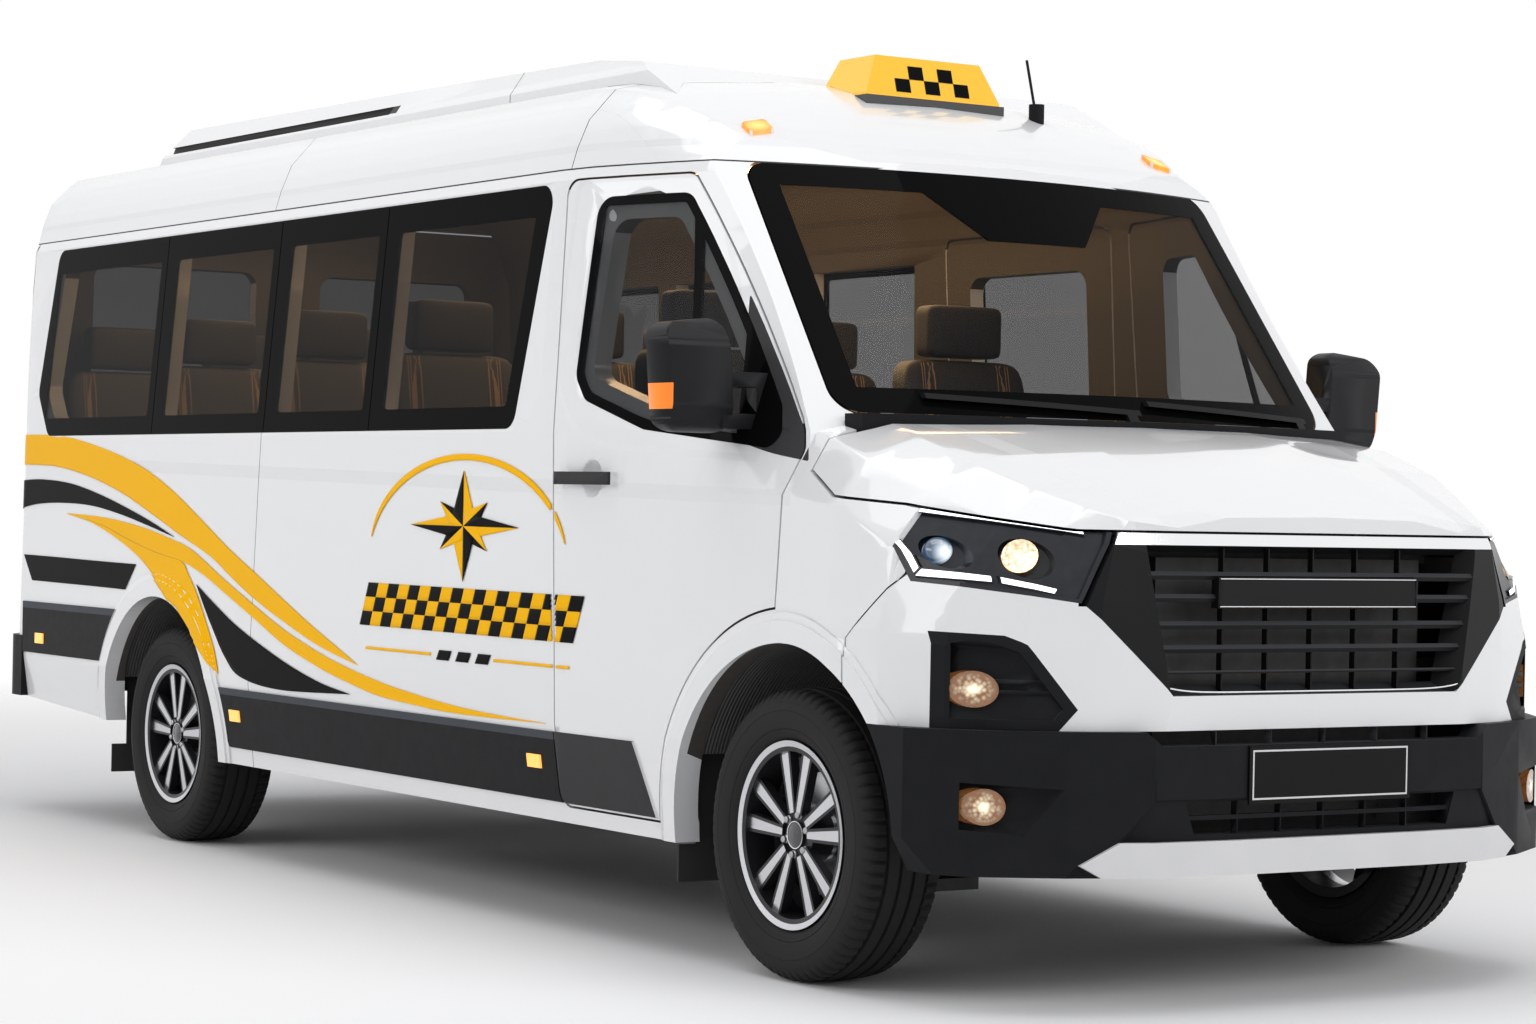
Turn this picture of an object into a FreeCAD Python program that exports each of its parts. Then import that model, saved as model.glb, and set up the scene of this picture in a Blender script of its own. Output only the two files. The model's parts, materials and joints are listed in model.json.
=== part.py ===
import FreeCAD, Part
import math
import os
import re

Vector = FreeCAD.Vector
doc = FreeCAD.newDocument("minibus_taxi")
sheet = doc.addObject("Spreadsheet::Sheet", "Sizes")


class Sizes:
    """The driving sizes of the vehicle in millimetres, kept in the sheet and read by name."""

    def __init__(self):
        self.rows = 0

    def put(self, **values):
        for name, value in values.items():
            self.rows += 1
            sheet.set("A%d" % self.rows, str(value))
            sheet.setAlias("A%d" % self.rows, name)
        doc.recompute()

    def __getattr__(self, name):
        return float(sheet.get(name))


d = Sizes()
RIGHT = -1
LEFT = 1
SIDES = ((RIGHT, "right"), (LEFT, "left"))
kept = []

# The frame: X runs forward, Y to the left, Z up from the road. The origin is on the road,
# midway along the vehicle and on its centre line. Stations along X are counted from the
# front axle, so ahead() turns such a station into the frame's X.
d.put(overall_length=5960, front_overhang=850, wheelbase=3700, overrun=40, seam=6, fit_gap=0.3)


def ahead(station):
    return d.overall_length / 2 - d.front_overhang + station


def stations(corners):
    """Outline corners whose first number is a distance behind the front axle."""
    return [(ahead(-back), height) for back, height in corners]


# General shapes
def keep(label, shape):
    """Adds a finished piece to the document; its label names its file."""
    solids = shape.Solids
    piece = doc.addObject("Part::Feature", label)
    piece.Label = label
    piece.Shape = solids[0] if len(solids) == 1 else Part.makeCompound(solids)
    kept.append(piece)


def keep_feature(label, feature):
    """Names a feature that the sheet drives as a finished piece."""
    feature.Label = label
    kept.append(feature)


def sized(text):
    """An expression on the sheet, from one that names its sizes plainly."""
    return re.sub(r"[a-z][a-z_]*", r"Sizes.\g<0>", text)


def ahead_text(station):
    return "overall_length / 2 - front_overhang + (%s)" % station


def sheet_box(label, x, y, z):
    """A box between pairs of limits, each written in the sheet's sizes."""
    box = doc.addObject("Part::Box", label)
    for name, (low, high) in zip(("Length", "Width", "Height"), (x, y, z)):
        box.setExpression(name, sized("(%s) - (%s)" % (high, low)))
    for axis, (low, high) in zip("xyz", (x, y, z)):
        box.setExpression("Placement.Base." + axis, sized(low))
    return box


def sheet_rod(label, x, y, z, radius):
    """A round bar across the vehicle between the two limits of Y."""
    bar = doc.addObject("Part::Cylinder", label)
    bar.Placement = FreeCAD.Placement(Vector(), FreeCAD.Rotation(Vector(1, 0, 0), -90))
    bar.setExpression("Radius", sized(radius))
    bar.setExpression("Height", sized("(%s) - (%s)" % (y[1], y[0])))
    for axis, place in zip("xyz", (x, y[0], z)):
        bar.setExpression("Placement.Base." + axis, sized(place))
    return bar


def sheet_fuse(label, features):
    whole = doc.addObject("Part::MultiFuse", label)
    whole.Shapes = features
    whole.Refine = True
    return whole


def rounded_wire(corners, radius, place):
    """A closed outline through flat corners, each rounded by an arc; place gives a corner its point."""
    count = len(corners)
    edges = []
    spans = []
    for index, corner in enumerate(corners):
        here = Vector(corner[0], corner[1], 0)
        before = Vector(*corners[index - 1], 0) - here
        after = Vector(*corners[(index + 1) % count], 0) - here
        turn = before.getAngle(after)
        reach = min(radius / math.tan(turn / 2), min(before.Length, after.Length) * CORNER_SHARE)
        bend = reach * math.tan(turn / 2)
        before.normalize()
        after.normalize()
        if reach <= 0:
            spans.append((here, None, here))
            continue
        middle = before + after
        middle.normalize()
        top = here + middle * (bend / math.sin(turn / 2) - bend)
        spans.append((here + before * reach, top, here + after * reach))
    for index, (start, top, end) in enumerate(spans):
        if top is not None:
            edges.append(Part.Arc(place(start), place(top), place(end)).toShape())
        following = spans[(index + 1) % count][0]
        edges.append(Part.LineSegment(place(end), place(following)).toShape())
    return Part.Wire(edges)


CORNER_SHARE = 0.49


def side_slab(corners, y_from, y_to, radius=0):
    """A slab whose side view is the outline, corners as (X, Z)."""
    wire = rounded_wire(corners, radius, lambda p: Vector(p.x, y_from, p.y))
    return Part.Face(wire).extrude(Vector(0, y_to - y_from, 0))


def front_slab(corners, x_from, x_to, radius=0):
    """A slab whose front view is the outline, corners as (Y, Z)."""
    wire = rounded_wire(corners, radius, lambda p: Vector(x_from, p.x, p.y))
    return Part.Face(wire).extrude(Vector(x_to - x_from, 0, 0))


def plan_slab(corners, z_from, z_to, radius=0):
    """A slab whose plan view is the outline, corners as (X, Y)."""
    wire = rounded_wire(corners, radius, lambda p: Vector(p.x, p.y, z_from))
    return Part.Face(wire).extrude(Vector(0, 0, z_to - z_from))


def block(x, y, z):
    """A box between pairs of limits."""
    low = Vector(min(x), min(y), min(z))
    return Part.makeBox(max(x) - low.x, max(y) - low.y, max(z) - low.z, low)


def rod(start, end, radius):
    """A round bar between two points."""
    return Part.makeCylinder(radius, start.distanceToPoint(end), start, end - start)


def mirrored(shape):
    """The same piece on the other side of the vehicle."""
    return shape.mirror(Vector(0, 0, 0), Vector(0, 1, 0))


def with_mirrored(shape):
    return Part.makeCompound(shape.Solids + mirrored(shape).Solids)


def largest(shape):
    return max(shape.Solids, key=lambda solid: solid.Volume)


def both_sides(half):
    """A whole outline from the points of its left half, top to bottom."""
    return half + [(-out, height) for out, height in reversed(half)]


def grown(corners, step):
    """An outline moved out by a step, or in where the step is negative."""
    count = len(corners)
    area = sum(corners[i - 1][0] * corners[i][1] - corners[i][0] * corners[i - 1][1] for i in range(count))
    turn = 1 if area > 0 else -1
    lines = []
    for index in range(count):
        start = Vector(*corners[index], 0)
        along = Vector(*corners[(index + 1) % count], 0) - start
        along.normalize()
        outward = Vector(along.y, -along.x, 0) * turn
        lines.append((start + outward * step, along))
    moved = []
    for index in range(count):
        (p, u), (q, v) = lines[index - 1], lines[index]
        cross = u.x * v.y - u.y * v.x
        reach = ((q.x - p.x) * v.y - (q.y - p.y) * v.x) / cross
        point = p + u * reach
        moved.append((point.x, point.y))
    return moved


def ruled_loft(sections):
    """A solid through closed outlines of equal numbers of points."""
    return Part.makeLoft([Part.makePolygon(points + points[:1]) for points in sections], True, True)


# The cabin's skin. Half of its cross-section is a row of points from the sill to the crown
# of the roof. Behind the B-pillar it is the same all along; ahead of it the belt and the
# roof rail draw in towards the windscreen and the roof falls away in a rounded brow.
d.put(body_half_width=1040, sill_half_width=1000, sill_return=60, sill_bottom=296, waist_height=560,
      waist_half_width=1036, shoulder_height=1180, belt_height=1340, window_top_height=2015,
      window_top_half_width=1000, gutter_height=2044, gutter_half_width=985, roof_edge_half_width=850,
      roof_edge_height=2285, roof_height=2345, taper_length=1100, waist_taper=34, shoulder_taper=75,
      belt_taper=180, rail_taper=420, brow_start=1310, brow_length=790, brow_bow=80, wall=60,
      rear_end=5080)
ROOF_SIDE_SHARES = ((0.14, 0.27), (0.4, 0.62), (1.0, 1.0))
ROOF_TOP_SHARES = ((0.82, 0.55), (0.42, 0.92), (0.0, 1.0))
BROW_FLOOR_SHARE = 0.97
CABIN_STATION_SHARES = (1.18, 1.05, 0.92, 0.79, 0.67, 0.57, 0.47, 0.37, 0.25, 0.12, -0.055)
RAIL_POWER = 1.3
SHOULDER_POWER = 1.5
BELT_POWER = 1.8
BROW_POWER = 2.6


def cabin_half(station):
    """Half widths and heights of the cabin's outer skin at a station."""
    taper = max((station + d.taper_length) / d.taper_length, 0)
    rail = d.rail_taper * taper ** RAIL_POWER
    row = [(d.sill_half_width - d.sill_return, d.sill_bottom), (d.sill_half_width, d.sill_bottom),
           (d.waist_half_width - d.waist_taper * taper, d.waist_height),
           (d.body_half_width - d.shoulder_taper * taper ** SHOULDER_POWER, d.shoulder_height),
           (d.body_half_width - d.belt_taper * taper ** BELT_POWER, d.belt_height),
           (d.window_top_half_width - rail, d.window_top_height),
           (d.gutter_half_width - rail, d.gutter_height)]
    rail_width = d.gutter_half_width - rail
    side_step = d.gutter_half_width - d.roof_edge_half_width
    narrow = rail_width / d.gutter_half_width
    top = [((d.gutter_half_width - side_step * out) * narrow,
            d.gutter_height + (d.roof_edge_height - d.gutter_height) * up)
           for out, up in ROOF_SIDE_SHARES]
    top += [(d.roof_edge_half_width * out * narrow,
             d.roof_edge_height + (d.roof_height - d.roof_edge_height) * up)
            for out, up in ROOF_TOP_SHARES]
    for width, height in top:
        bow = d.brow_bow * (width / d.roof_edge_half_width) ** 2
        along = max(station + d.brow_start + bow - d.brow_bow / 2, 0) / d.brow_length
        fall = min(along ** BROW_POWER, BROW_FLOOR_SHARE)
        row.append((width, d.gutter_height + (height - d.gutter_height) * (1 - fall)))
    return row


def moved_in(row, inset):
    """The half section moved in by a wall's thickness, square to each of its lines."""
    lines = []
    for (y0, z0), (y1, z1) in zip(row, row[1:]):
        length = math.hypot(y1 - y0, z1 - z0)
        lines.append((y0 - (z1 - z0) / length * inset, z0 + (y1 - y0) / length * inset,
                      (y1 - y0) / length, (z1 - z0) / length))
    result = [(row[0][0], row[0][1] + inset)]
    for (px, pz, ux, uz), (qx, qz, vx, vz) in zip(lines, lines[1:]):
        cross = ux * vz - uz * vx
        if abs(cross) < PARALLEL_SHARE:
            result.append((qx, qz))
            continue
        reach = ((qx - px) * vz - (qz - pz) * vx) / cross
        result.append((px + ux * reach, pz + uz * reach))
    result.append((0, row[-1][1] - inset))
    return result


PARALLEL_SHARE = 1e-6


def full_section(x, row):
    """Both halves of a section as one closed row of points at X."""
    right = [Vector(x, -y, z) for y, z in row]
    left = [Vector(x, y, z) for y, z in reversed(row[:-1])]
    return right + left


def cabin_solid(inset):
    """The cabin's full form, its skin moved in by the inset, out past the tail."""
    places = [-d.rear_end - d.overrun] + [-d.taper_length * share for share in CABIN_STATION_SHARES]
    return ruled_loft([full_section(ahead(s), moved_in(cabin_half(s), inset)) for s in places])


def cabin_layer(outside, inside):
    """The part of the cabin's skin between two depths, each counted inward."""
    return cabin_solid(outside).cut(cabin_solid(inside))


# The windscreen lies on a leaning cylinder. The tail is a curve that leans forward at its
# top, with upright corners rounded in plan. They trim the cabin.
d.put(screen_foot=60, screen_foot_height=1375, screen_head=470, screen_head_height=2050,
      screen_bend=3000, pillar_depth=60, screen_reach=14000, tail_lean=90, tail_round=150, tail_spare=1, door_gap=18)
TAIL_SHARES = ((0.0, 0.0), (0.94, 1.0), (0.965, 1.3), (0.985, 1.9), (1.02, 3.6))
half = d.body_half_width + d.overrun
crown = d.roof_height + d.overrun
nose_reach = ahead(d.front_overhang + d.overrun)
ends = (ahead(-d.rear_end) - d.overrun, nose_reach)


def screen_side(inset):
    """All that lies behind the windscreen's surface, moved in by the inset."""
    foot = Vector(ahead(d.screen_foot), 0, d.screen_foot_height)
    head = Vector(ahead(-d.screen_head), 0, d.screen_head_height)
    rake = head - foot
    rake.normalize()
    outward = Vector(rake.z, 0, -rake.x)
    centre = foot - outward * d.screen_bend - rake * (d.screen_reach / 2)
    return Part.makeCylinder(d.screen_bend - inset, d.screen_reach, centre, rake)


def tail_side(inset):
    """All that lies ahead of the tail's curve, moved forward by the inset."""
    line = [(ahead(-d.rear_end + d.tail_lean * lean) + inset, d.roof_height * up) for up, lean in TAIL_SHARES]
    corners = line + [(nose_reach, line[-1][1]), (nose_reach, 0)]
    return side_slab(corners, -2 * half, 2 * half)


def tail_corners(inset):
    """A tall leaning form with the tail's two rounded corners."""
    out = d.body_half_width + d.tail_spare - inset
    back = ahead(-d.rear_end) + inset
    front = nose_reach + 2 * d.tail_round
    rise = crown / (TAIL_SHARES[1][0] * d.roof_height)
    wire = rounded_wire([(back, -out), (front, -out), (front, out), (back, out)], d.tail_round - inset,
                        lambda p: Vector(p.x, p.y, 0))
    return Part.Face(wire).extrude(Vector(d.tail_lean * rise, 0, crown))


outer_form = cabin_solid(0).common(tail_side(0)).common(tail_corners(0)).common(screen_side(0))
inner_form = cabin_solid(d.wall).common(tail_side(d.wall)).common(tail_corners(d.wall))
inner_form = inner_form.common(screen_side(d.pillar_depth))
trim_form = tail_side(d.wall + d.seam).common(tail_corners(d.wall + d.fit_gap))
trim_form = trim_form.common(screen_side(d.pillar_depth + d.fit_gap))
seat_form = cabin_solid(d.wall + d.fit_gap).common(trim_form)
clear_form = cabin_solid(d.wall + d.seam).common(trim_form)
swing_form = cabin_solid(d.wall + d.door_gap).common(trim_form)
shell = outer_form.cut(inner_form)
side_shell = shell.common(tail_side(d.wall))
tail_slab = outer_form.cut(tail_side(d.wall))

# Roof panel: everything above the gutter, with the header over the windscreen.
keep("roof", side_shell.common(block(ends, (-half, half), (d.gutter_height, crown))))

# Openings that the side panels leave. Corners are stations and heights on the right side.
d.put(door_foot=341, door_foot_rear=1042, door_rear=1100, door_head=2014, door_head_front=655,
      door_corner=118, door_corner_height=1372, door_front=66, door_shoulder_height=1290,
      door_arch_radius=551, arch_radius=465, rear_arch_radius=455, tyre_radius=356,
      opening_round=45, glass_depth=8, pane_gap=5, step_door_front=1190, step_door_rear=2030,
      quarter_front=4140, quarter_front_height=371, quarter_rear_height=425)
front_axle = Vector(ahead(0), 0, d.tyre_radius)
rear_axle_centre = Vector(ahead(-d.wheelbase), 0, d.tyre_radius)


def cross_rod(centre, radius):
    """A round bar right across the vehicle."""
    return Part.makeCylinder(radius, 2 * half, Vector(centre.x, -half, centre.z), Vector(0, 1, 0))


def on_flank(outline, side, radius=0):
    """A slab through one flank only."""
    return side_slab(outline, 0, side * half, radius)


front_door_outline = stations([(d.door_foot_rear, d.door_foot), (d.door_rear, d.door_head),
                               (d.door_head_front, d.door_head), (d.door_corner, d.door_corner_height),
                               (d.door_front, d.door_shoulder_height), (d.door_front, d.door_foot)])
step_door_outline = stations([(d.step_door_rear, d.door_foot), (d.step_door_rear, d.door_head),
                              (d.step_door_front, d.door_head), (d.step_door_front, d.door_foot)])


def door_space(side, step):
    """The openings of a flank's doors, their edges moved out by the step."""
    space = on_flank(grown(front_door_outline, step), side, d.opening_round)
    space = space.cut(cross_rod(front_axle, d.door_arch_radius - step))
    if side == LEFT:
        space = space.fuse(on_flank(grown(step_door_outline, step), side, d.opening_round))
    return space


# The glass band of a side, one flush black sheet over the wall, is cut into panes.
d.put(band_foot=1348, band_head=2008, band_front_top=1155, band_front_foot=1300, band_rear_top=4710,
      band_rear=4818, band_rear_height=1500, band_rear_foot=4700, band_round=55, clear_border=62,
      divider_lean=42, divider_one=2158, divider_two=2885, divider_three=3760, step_band_front=2080)
right_band = stations([(d.band_front_foot, d.band_foot), (d.band_rear_foot, d.band_foot),
                       (d.band_rear, d.band_rear_height), (d.band_rear_top, d.band_head),
                       (d.band_front_top, d.band_head)])
left_band = stations([(d.step_band_front, d.band_foot), (d.band_rear_foot, d.band_foot),
                      (d.band_rear, d.band_rear_height), (d.band_rear_top, d.band_head),
                      (d.step_band_front, d.band_head)])
dividers = (d.divider_one, d.divider_two, d.divider_three)


def divider_slab(station, width):
    """The upright strip that parts two panes."""
    low = ahead(-station - d.divider_lean / 2)
    high = ahead(-station + d.divider_lean / 2)
    foot = d.band_foot - d.overrun
    head = d.band_head + d.overrun
    return side_slab([(low - width / 2, foot), (low + width / 2, foot),
                      (high + width / 2, head), (high - width / 2, head)], -half, half)


glass_skin = outer_form.cut(cabin_solid(d.glass_depth))
rebate_skin = outer_form.cut(cabin_solid(d.glass_depth + d.fit_gap))


def flank_band(outline, side):
    """The glass band's recess, its panes and the clear openings behind them."""
    recess = rebate_skin.common(on_flank(grown(outline, d.fit_gap), side, d.band_round))
    panes = glass_skin.common(on_flank(outline, side, d.band_round))
    clear = on_flank(grown(outline, -d.clear_border), side, d.band_round)
    for station in dividers:
        panes = panes.cut(divider_slab(station, d.pane_gap))
        clear = clear.cut(divider_slab(station, d.clear_border * 2))
    return recess, panes, clear


# Flares round the wheel arches: two low steps that follow the skin under them.
d.put(flare_width=75, flare_edge=20, flare_stand=12, flare_root=20)


def flare(centre, radius, layer):
    """A raised band round an arch; layer gives the skin between two depths."""
    reach = radius + d.flare_width
    crest = cross_rod(centre, reach - d.flare_edge).common(layer(-d.flare_stand, d.flare_root))
    edge = cross_rod(centre, reach).common(layer(-d.flare_stand / 2, d.flare_root))
    return crest.fuse(edge).cut(cross_rod(centre, radius))


inner_sill = d.sill_half_width - d.wall
front_flare = flare(front_axle, d.arch_radius, cabin_layer)
cabin_flares = front_flare.fuse(flare(rear_axle_centre, d.rear_arch_radius, cabin_layer)).common(
    block((ends[0], ahead(-d.door_front + d.seam)), (-half, half), (d.sill_bottom, crown)))
cabin_flares = cabin_flares.cut(block(ends, (-inner_sill, inner_sill), (0, crown)))

# Side walls: one panel a side, from the hinge pillar to the tail, with the doors, windows
# and wheel arches cut out of it and the windscreen's pillar at its front.
d.put(screen_half_foot=800, screen_half_head=765, screen_bottom=1388, screen_round=60, screen_thickness=8)
lower_shell_whole = side_shell.common(block(ends, (-half, half), (0, d.gutter_height)))
lower_shell_whole = lower_shell_whole.cut(block(ends, (-inner_sill, inner_sill),
                                                (0, d.sill_bottom + d.wall + d.overrun)))
nose_tail = ahead(-d.door_front + d.seam)
lower_shell = lower_shell_whole.cut(block((nose_tail, ends[1]), (-half, half), (0, d.belt_height)))


def screen_outline(step):
    foot = d.screen_bottom - step
    head = d.gutter_height + step
    return [(-d.screen_half_foot - step, foot), (d.screen_half_foot + step, foot),
            (d.screen_half_head + step, head), (-d.screen_half_head - step, head)]


screen_span = (ahead(-d.taper_length), ahead(d.taper_length / 2))
lower_shell = lower_shell.cut(front_slab(screen_outline(d.pane_gap), *screen_span, d.screen_round))
lower_shell = lower_shell.fuse(cabin_flares)
quarter_cut = stations([(d.quarter_front, 0), (d.quarter_front, d.quarter_front_height),
                        (d.rear_end + d.overrun, d.quarter_rear_height), (d.rear_end + d.overrun, 0)])
lower_shell = lower_shell.cut(side_slab(quarter_cut, -half, half))
for centre, radius in ((front_axle, d.arch_radius), (rear_axle_centre, d.rear_arch_radius)):
    lower_shell = lower_shell.cut(cross_rod(centre, radius))

# Tail lamps stand in pockets up the rear corners, cut from the side walls and the tail.
d.put(lamp_inner=925, lamp_outer=1003, lamp_foot=843, lamp_head=1373, lamp_depth=45)
tail_x = (ends[0], ahead(-d.rear_end) + d.tail_lean + 2 * d.tail_round)


def tail_lamp_form(step):
    """One tail lamp on the right, its borders moved out by the step."""
    core = cabin_solid(d.lamp_depth + step).common(tail_side(d.lamp_depth + step))
    core = core.common(tail_corners(d.lamp_depth + step))
    return outer_form.cut(core).common(block(tail_x, (-d.lamp_inner + step, -d.lamp_outer - step),
                                             (d.lamp_foot - step, d.lamp_head + step)))


lamp_right = tail_lamp_form(0)
lamp_pocket = tail_lamp_form(d.fit_gap)
lamp_pockets = Part.makeCompound([lamp_pocket, mirrored(lamp_pocket)])

# Hinge plates lie against a door's inner face, just behind its hinge line.
d.put(hinge_back=40, hinge_length=40, hinge_height=70, hinge_depth=30, hinge_low=905, hinge_high=1050,
      hinge_shift=22)


def hinge_plates(side, station, root):
    """Two plates behind a hinge line, with roots that reach forward to their pillar."""
    plates = []
    for height in (d.hinge_low, d.hinge_high):
        line = ahead(-station) - d.hinge_back
        rise = (height, height + d.hinge_height)
        inner = d.body_half_width - d.wall - d.belt_taper
        leaf = block((line - d.hinge_length, line), (side * inner, side * half), rise)
        leaf = leaf.common(cabin_solid(d.wall + d.fit_gap)).cut(cabin_solid(d.wall + d.hinge_depth))
        arm = block((line - d.hinge_length, line + root), (side * inner, side * half), rise)
        arm = arm.common(swing_form).cut(cabin_solid(d.wall + d.hinge_depth))
        plates.append(leaf.fuse(arm))
    return plates


glass_panes = []
for side, word in SIDES:
    wall_panel = lower_shell.common(block(ends, (0, side * half), (0, crown)))
    recess, panes, clear = flank_band(right_band if side == RIGHT else left_band, side)
    glass_panes += panes.Solids
    wall_panel = largest(wall_panel.cut(recess).cut(clear).cut(door_space(side, d.seam / 2)))
    wall_panel = wall_panel.cut(lamp_pockets)
    if side == LEFT:
        root = d.step_door_front - d.door_rear
        pillar = block((ahead(-d.step_door_front), ahead(-d.door_rear) - d.seam),
                       (side * (d.body_half_width - d.wall - d.hinge_depth), side * d.body_half_width),
                       (d.hinge_low, d.hinge_high + d.hinge_height))
        pillar = pillar.common(cabin_solid(d.wall / 2)).cut(cabin_solid(d.wall + d.hinge_depth))
        pillar = pillar.cut(door_space(side, d.seam / 2))
        wall_panel = wall_panel.fuse(hinge_plates(side, d.step_door_front, root) + [pillar])
    keep("side_wall_" + word, largest(wall_panel.removeSplitter()))

# Windscreen
screen_form = outer_form.cut(screen_side(d.screen_thickness))
keep("windshield", screen_form.common(front_slab(screen_outline(0), *screen_span, d.screen_round)))
keep("side_glass", Part.makeCompound(glass_panes))

# Cladding along the sills and behind the rear wheels, a skin over the panels. Where it
# crosses a door it is part of the door.
d.put(clad_stand=7, clad_foot=350, clad_head=538, clad_rear_foot=3160, clad_rear_head=3261,
      clad_front_head=660, clad_front_foot=560, rear_clad_foot=574, rear_clad_head=756,
      rear_clad_rear=4898, rear_clad_front_head=3990, rear_clad_front_foot=4060)
CLAD_OUTLINE = stations([(d.clad_rear_foot, d.clad_foot), (d.clad_rear_head, d.clad_head),
                         (d.clad_front_head, d.clad_head), (d.clad_front_foot, d.clad_foot)])
REAR_CLAD_OUTLINE = stations([(d.rear_clad_rear, d.rear_clad_foot), (d.rear_clad_rear, d.rear_clad_head),
                              (d.rear_clad_front_head, d.rear_clad_head),
                              (d.rear_clad_front_foot, d.rear_clad_foot)])
clad_slab = side_slab(CLAD_OUTLINE, -half, half)
clad_skin = cabin_layer(-d.clad_stand, -d.fit_gap)
door_clad = cabin_layer(-d.clad_stand, d.clad_stand).common(clad_slab)
clad = clad_skin.common(clad_slab).fuse(clad_skin.common(side_slab(REAR_CLAD_OUTLINE, -half, half)))
for side, word in SIDES:
    clad = clad.cut(door_space(side, d.seam / 2))
for centre, radius in ((front_axle, d.arch_radius), (rear_axle_centre, d.rear_arch_radius)):
    clad = clad.cut(cross_rod(centre, radius + d.flare_width + d.fit_gap))
keep("cladding", clad)

# Doors. Each is cut from the same shell as the wall around it, so it is as thick as the wall
# and lies flush with it; its glass fills a recess in the outer skin. A pull handle stands
# over a round finger recess.
d.put(handle_rear=1028, handle_front=767, handle_height=1215, handle_rise=34, handle_stand=26,
      handle_grip=12, recess_station=880, recess_radius=55, recess_depth=22, step_handle_rear=1960)
FRONT_GLASS_SHARES = ((0.946, 0.297), (0.92, 1.0), (0.605, 1.0), (0.132, 0.178), (0.086, 0.014),
                      (0.618, 0.09), (0.894, 0.206))
d.put(door_glass_foot=1281, door_glass_head=1962)
FRONT_DOOR_GLASS = [(ahead(-d.door_front - (d.door_foot_rear - d.door_front) * along),
                     d.door_glass_foot + (d.door_glass_head - d.door_glass_foot) * up)
                    for along, up in FRONT_GLASS_SHARES]
grip_form = cabin_solid(-d.handle_stand)
grip_inner = cabin_solid(-d.handle_stand + d.handle_grip)
skin_form = cabin_solid(d.wall / 2)


def pull_handle(side, rear):
    """A bar held off the skin by a foot at each end."""
    front = rear - (d.handle_rear - d.handle_front)
    low = d.handle_height - d.handle_rise / 2
    high = d.handle_height + d.handle_rise / 2
    bar = on_flank(stations([(rear, low), (rear, high), (front, high), (front, low)]), side)
    grip = bar.common(grip_form).cut(grip_inner)
    feet = bar.common(grip_form).cut(skin_form)
    gap = d.handle_rise * 2
    between = on_flank(stations([(rear - d.handle_rise, low - gap), (rear - d.handle_rise, high + gap),
                                 (front + d.handle_rise, high + gap), (front + d.handle_rise, low - gap)]), side)
    return grip.fuse(feet.cut(between))


def finger_recess(side, station):
    centre = Vector(ahead(-station), side * (d.body_half_width + d.recess_radius - d.recess_depth),
                    d.handle_height)
    return Part.makeSphere(d.recess_radius * SPHERE_SHARE, centre)


SPHERE_SHARE = 1.2


def side_door(word, side, outline, glass_outline, arch_radius, handle_rear):
    space = on_flank(grown(outline, -d.seam / 2), side, d.opening_round)
    space = space.cut(cross_rod(front_axle, arch_radius)) if arch_radius else space
    body = lower_shell_whole.common(space).cut(cabin_solid(d.wall)).fuse(door_clad.common(space))
    recess = rebate_skin.common(on_flank(grown(glass_outline, d.fit_gap), side, d.band_round))
    pane = glass_skin.common(on_flank(glass_outline, side, d.band_round))
    clear = on_flank(grown(glass_outline, -d.clear_border), side, d.band_round)
    body = body.cut(recess).cut(clear)
    body = body.cut(finger_recess(side, handle_rear - d.handle_rear + d.recess_station))
    body = body.fuse(pull_handle(side, handle_rear)).removeSplitter()
    keep(word, largest(body))
    keep(word + "_glass", pane)


step_glass_rear = d.step_door_rear - d.clear_border
step_glass_front = d.step_door_front + d.clear_border
step_glass_head = d.door_head - d.clear_border
step_door_glass = stations([(step_glass_rear, d.band_foot), (step_glass_rear, step_glass_head),
                            (step_glass_front, step_glass_head), (step_glass_front, d.band_foot)])
for side, word in SIDES:
    side_door("front_door_" + word, side, front_door_outline, FRONT_DOOR_GLASS,
              d.door_arch_radius + d.seam / 2, d.handle_rear)
side_door("passenger_door", LEFT, step_door_outline, step_door_glass, 0, d.step_handle_rear)

# Tail: a frame around two doors that meet in the middle, lamps up its corners, and barrel
# hinges outside the skin along each door's outer edge.
d.put(tail_door_half_width=905, tail_door_foot=640, tail_door_head=2190, leaf_seam=10, tail_glass_foot=1360,
      tail_glass_head=2050, tail_glass_inner=70, tail_glass_outer=840, tail_foot=520, hinge_line_back=12,
      barrel_radius=10, barrel_length=45, strap_width=17, strap_thickness=8)
BARREL_HEIGHT_SHARES = (0.1, 0.55, 0.9)
tail_opening = block(tail_x, (-d.tail_door_half_width, d.tail_door_half_width),
                     (d.tail_door_foot, d.tail_door_head))
tail_frame = tail_slab.cut(tail_opening).cut(lamp_pockets)
tail_frame = tail_frame.cut(block(tail_x, (-half, half), (0, d.tail_foot)))
tail_frame = tail_frame.cut(side_slab(quarter_cut, -half, half))
rise_rate = d.tail_lean / (TAIL_SHARES[1][0] * d.roof_height)


def tail_skin_x(height):
    """X of the tail's skin at a height below its rounded top."""
    return ahead(-d.rear_end) + rise_rate * height


def barrel(side, height):
    """A hinge barrel on the leaning hinge line, from a height upward."""
    foot = Vector(tail_skin_x(height) - d.hinge_line_back, side * d.tail_door_half_width, height)
    head = foot + Vector(rise_rate * d.barrel_length, 0, d.barrel_length)
    return rod(foot, head, d.barrel_radius)


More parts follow.
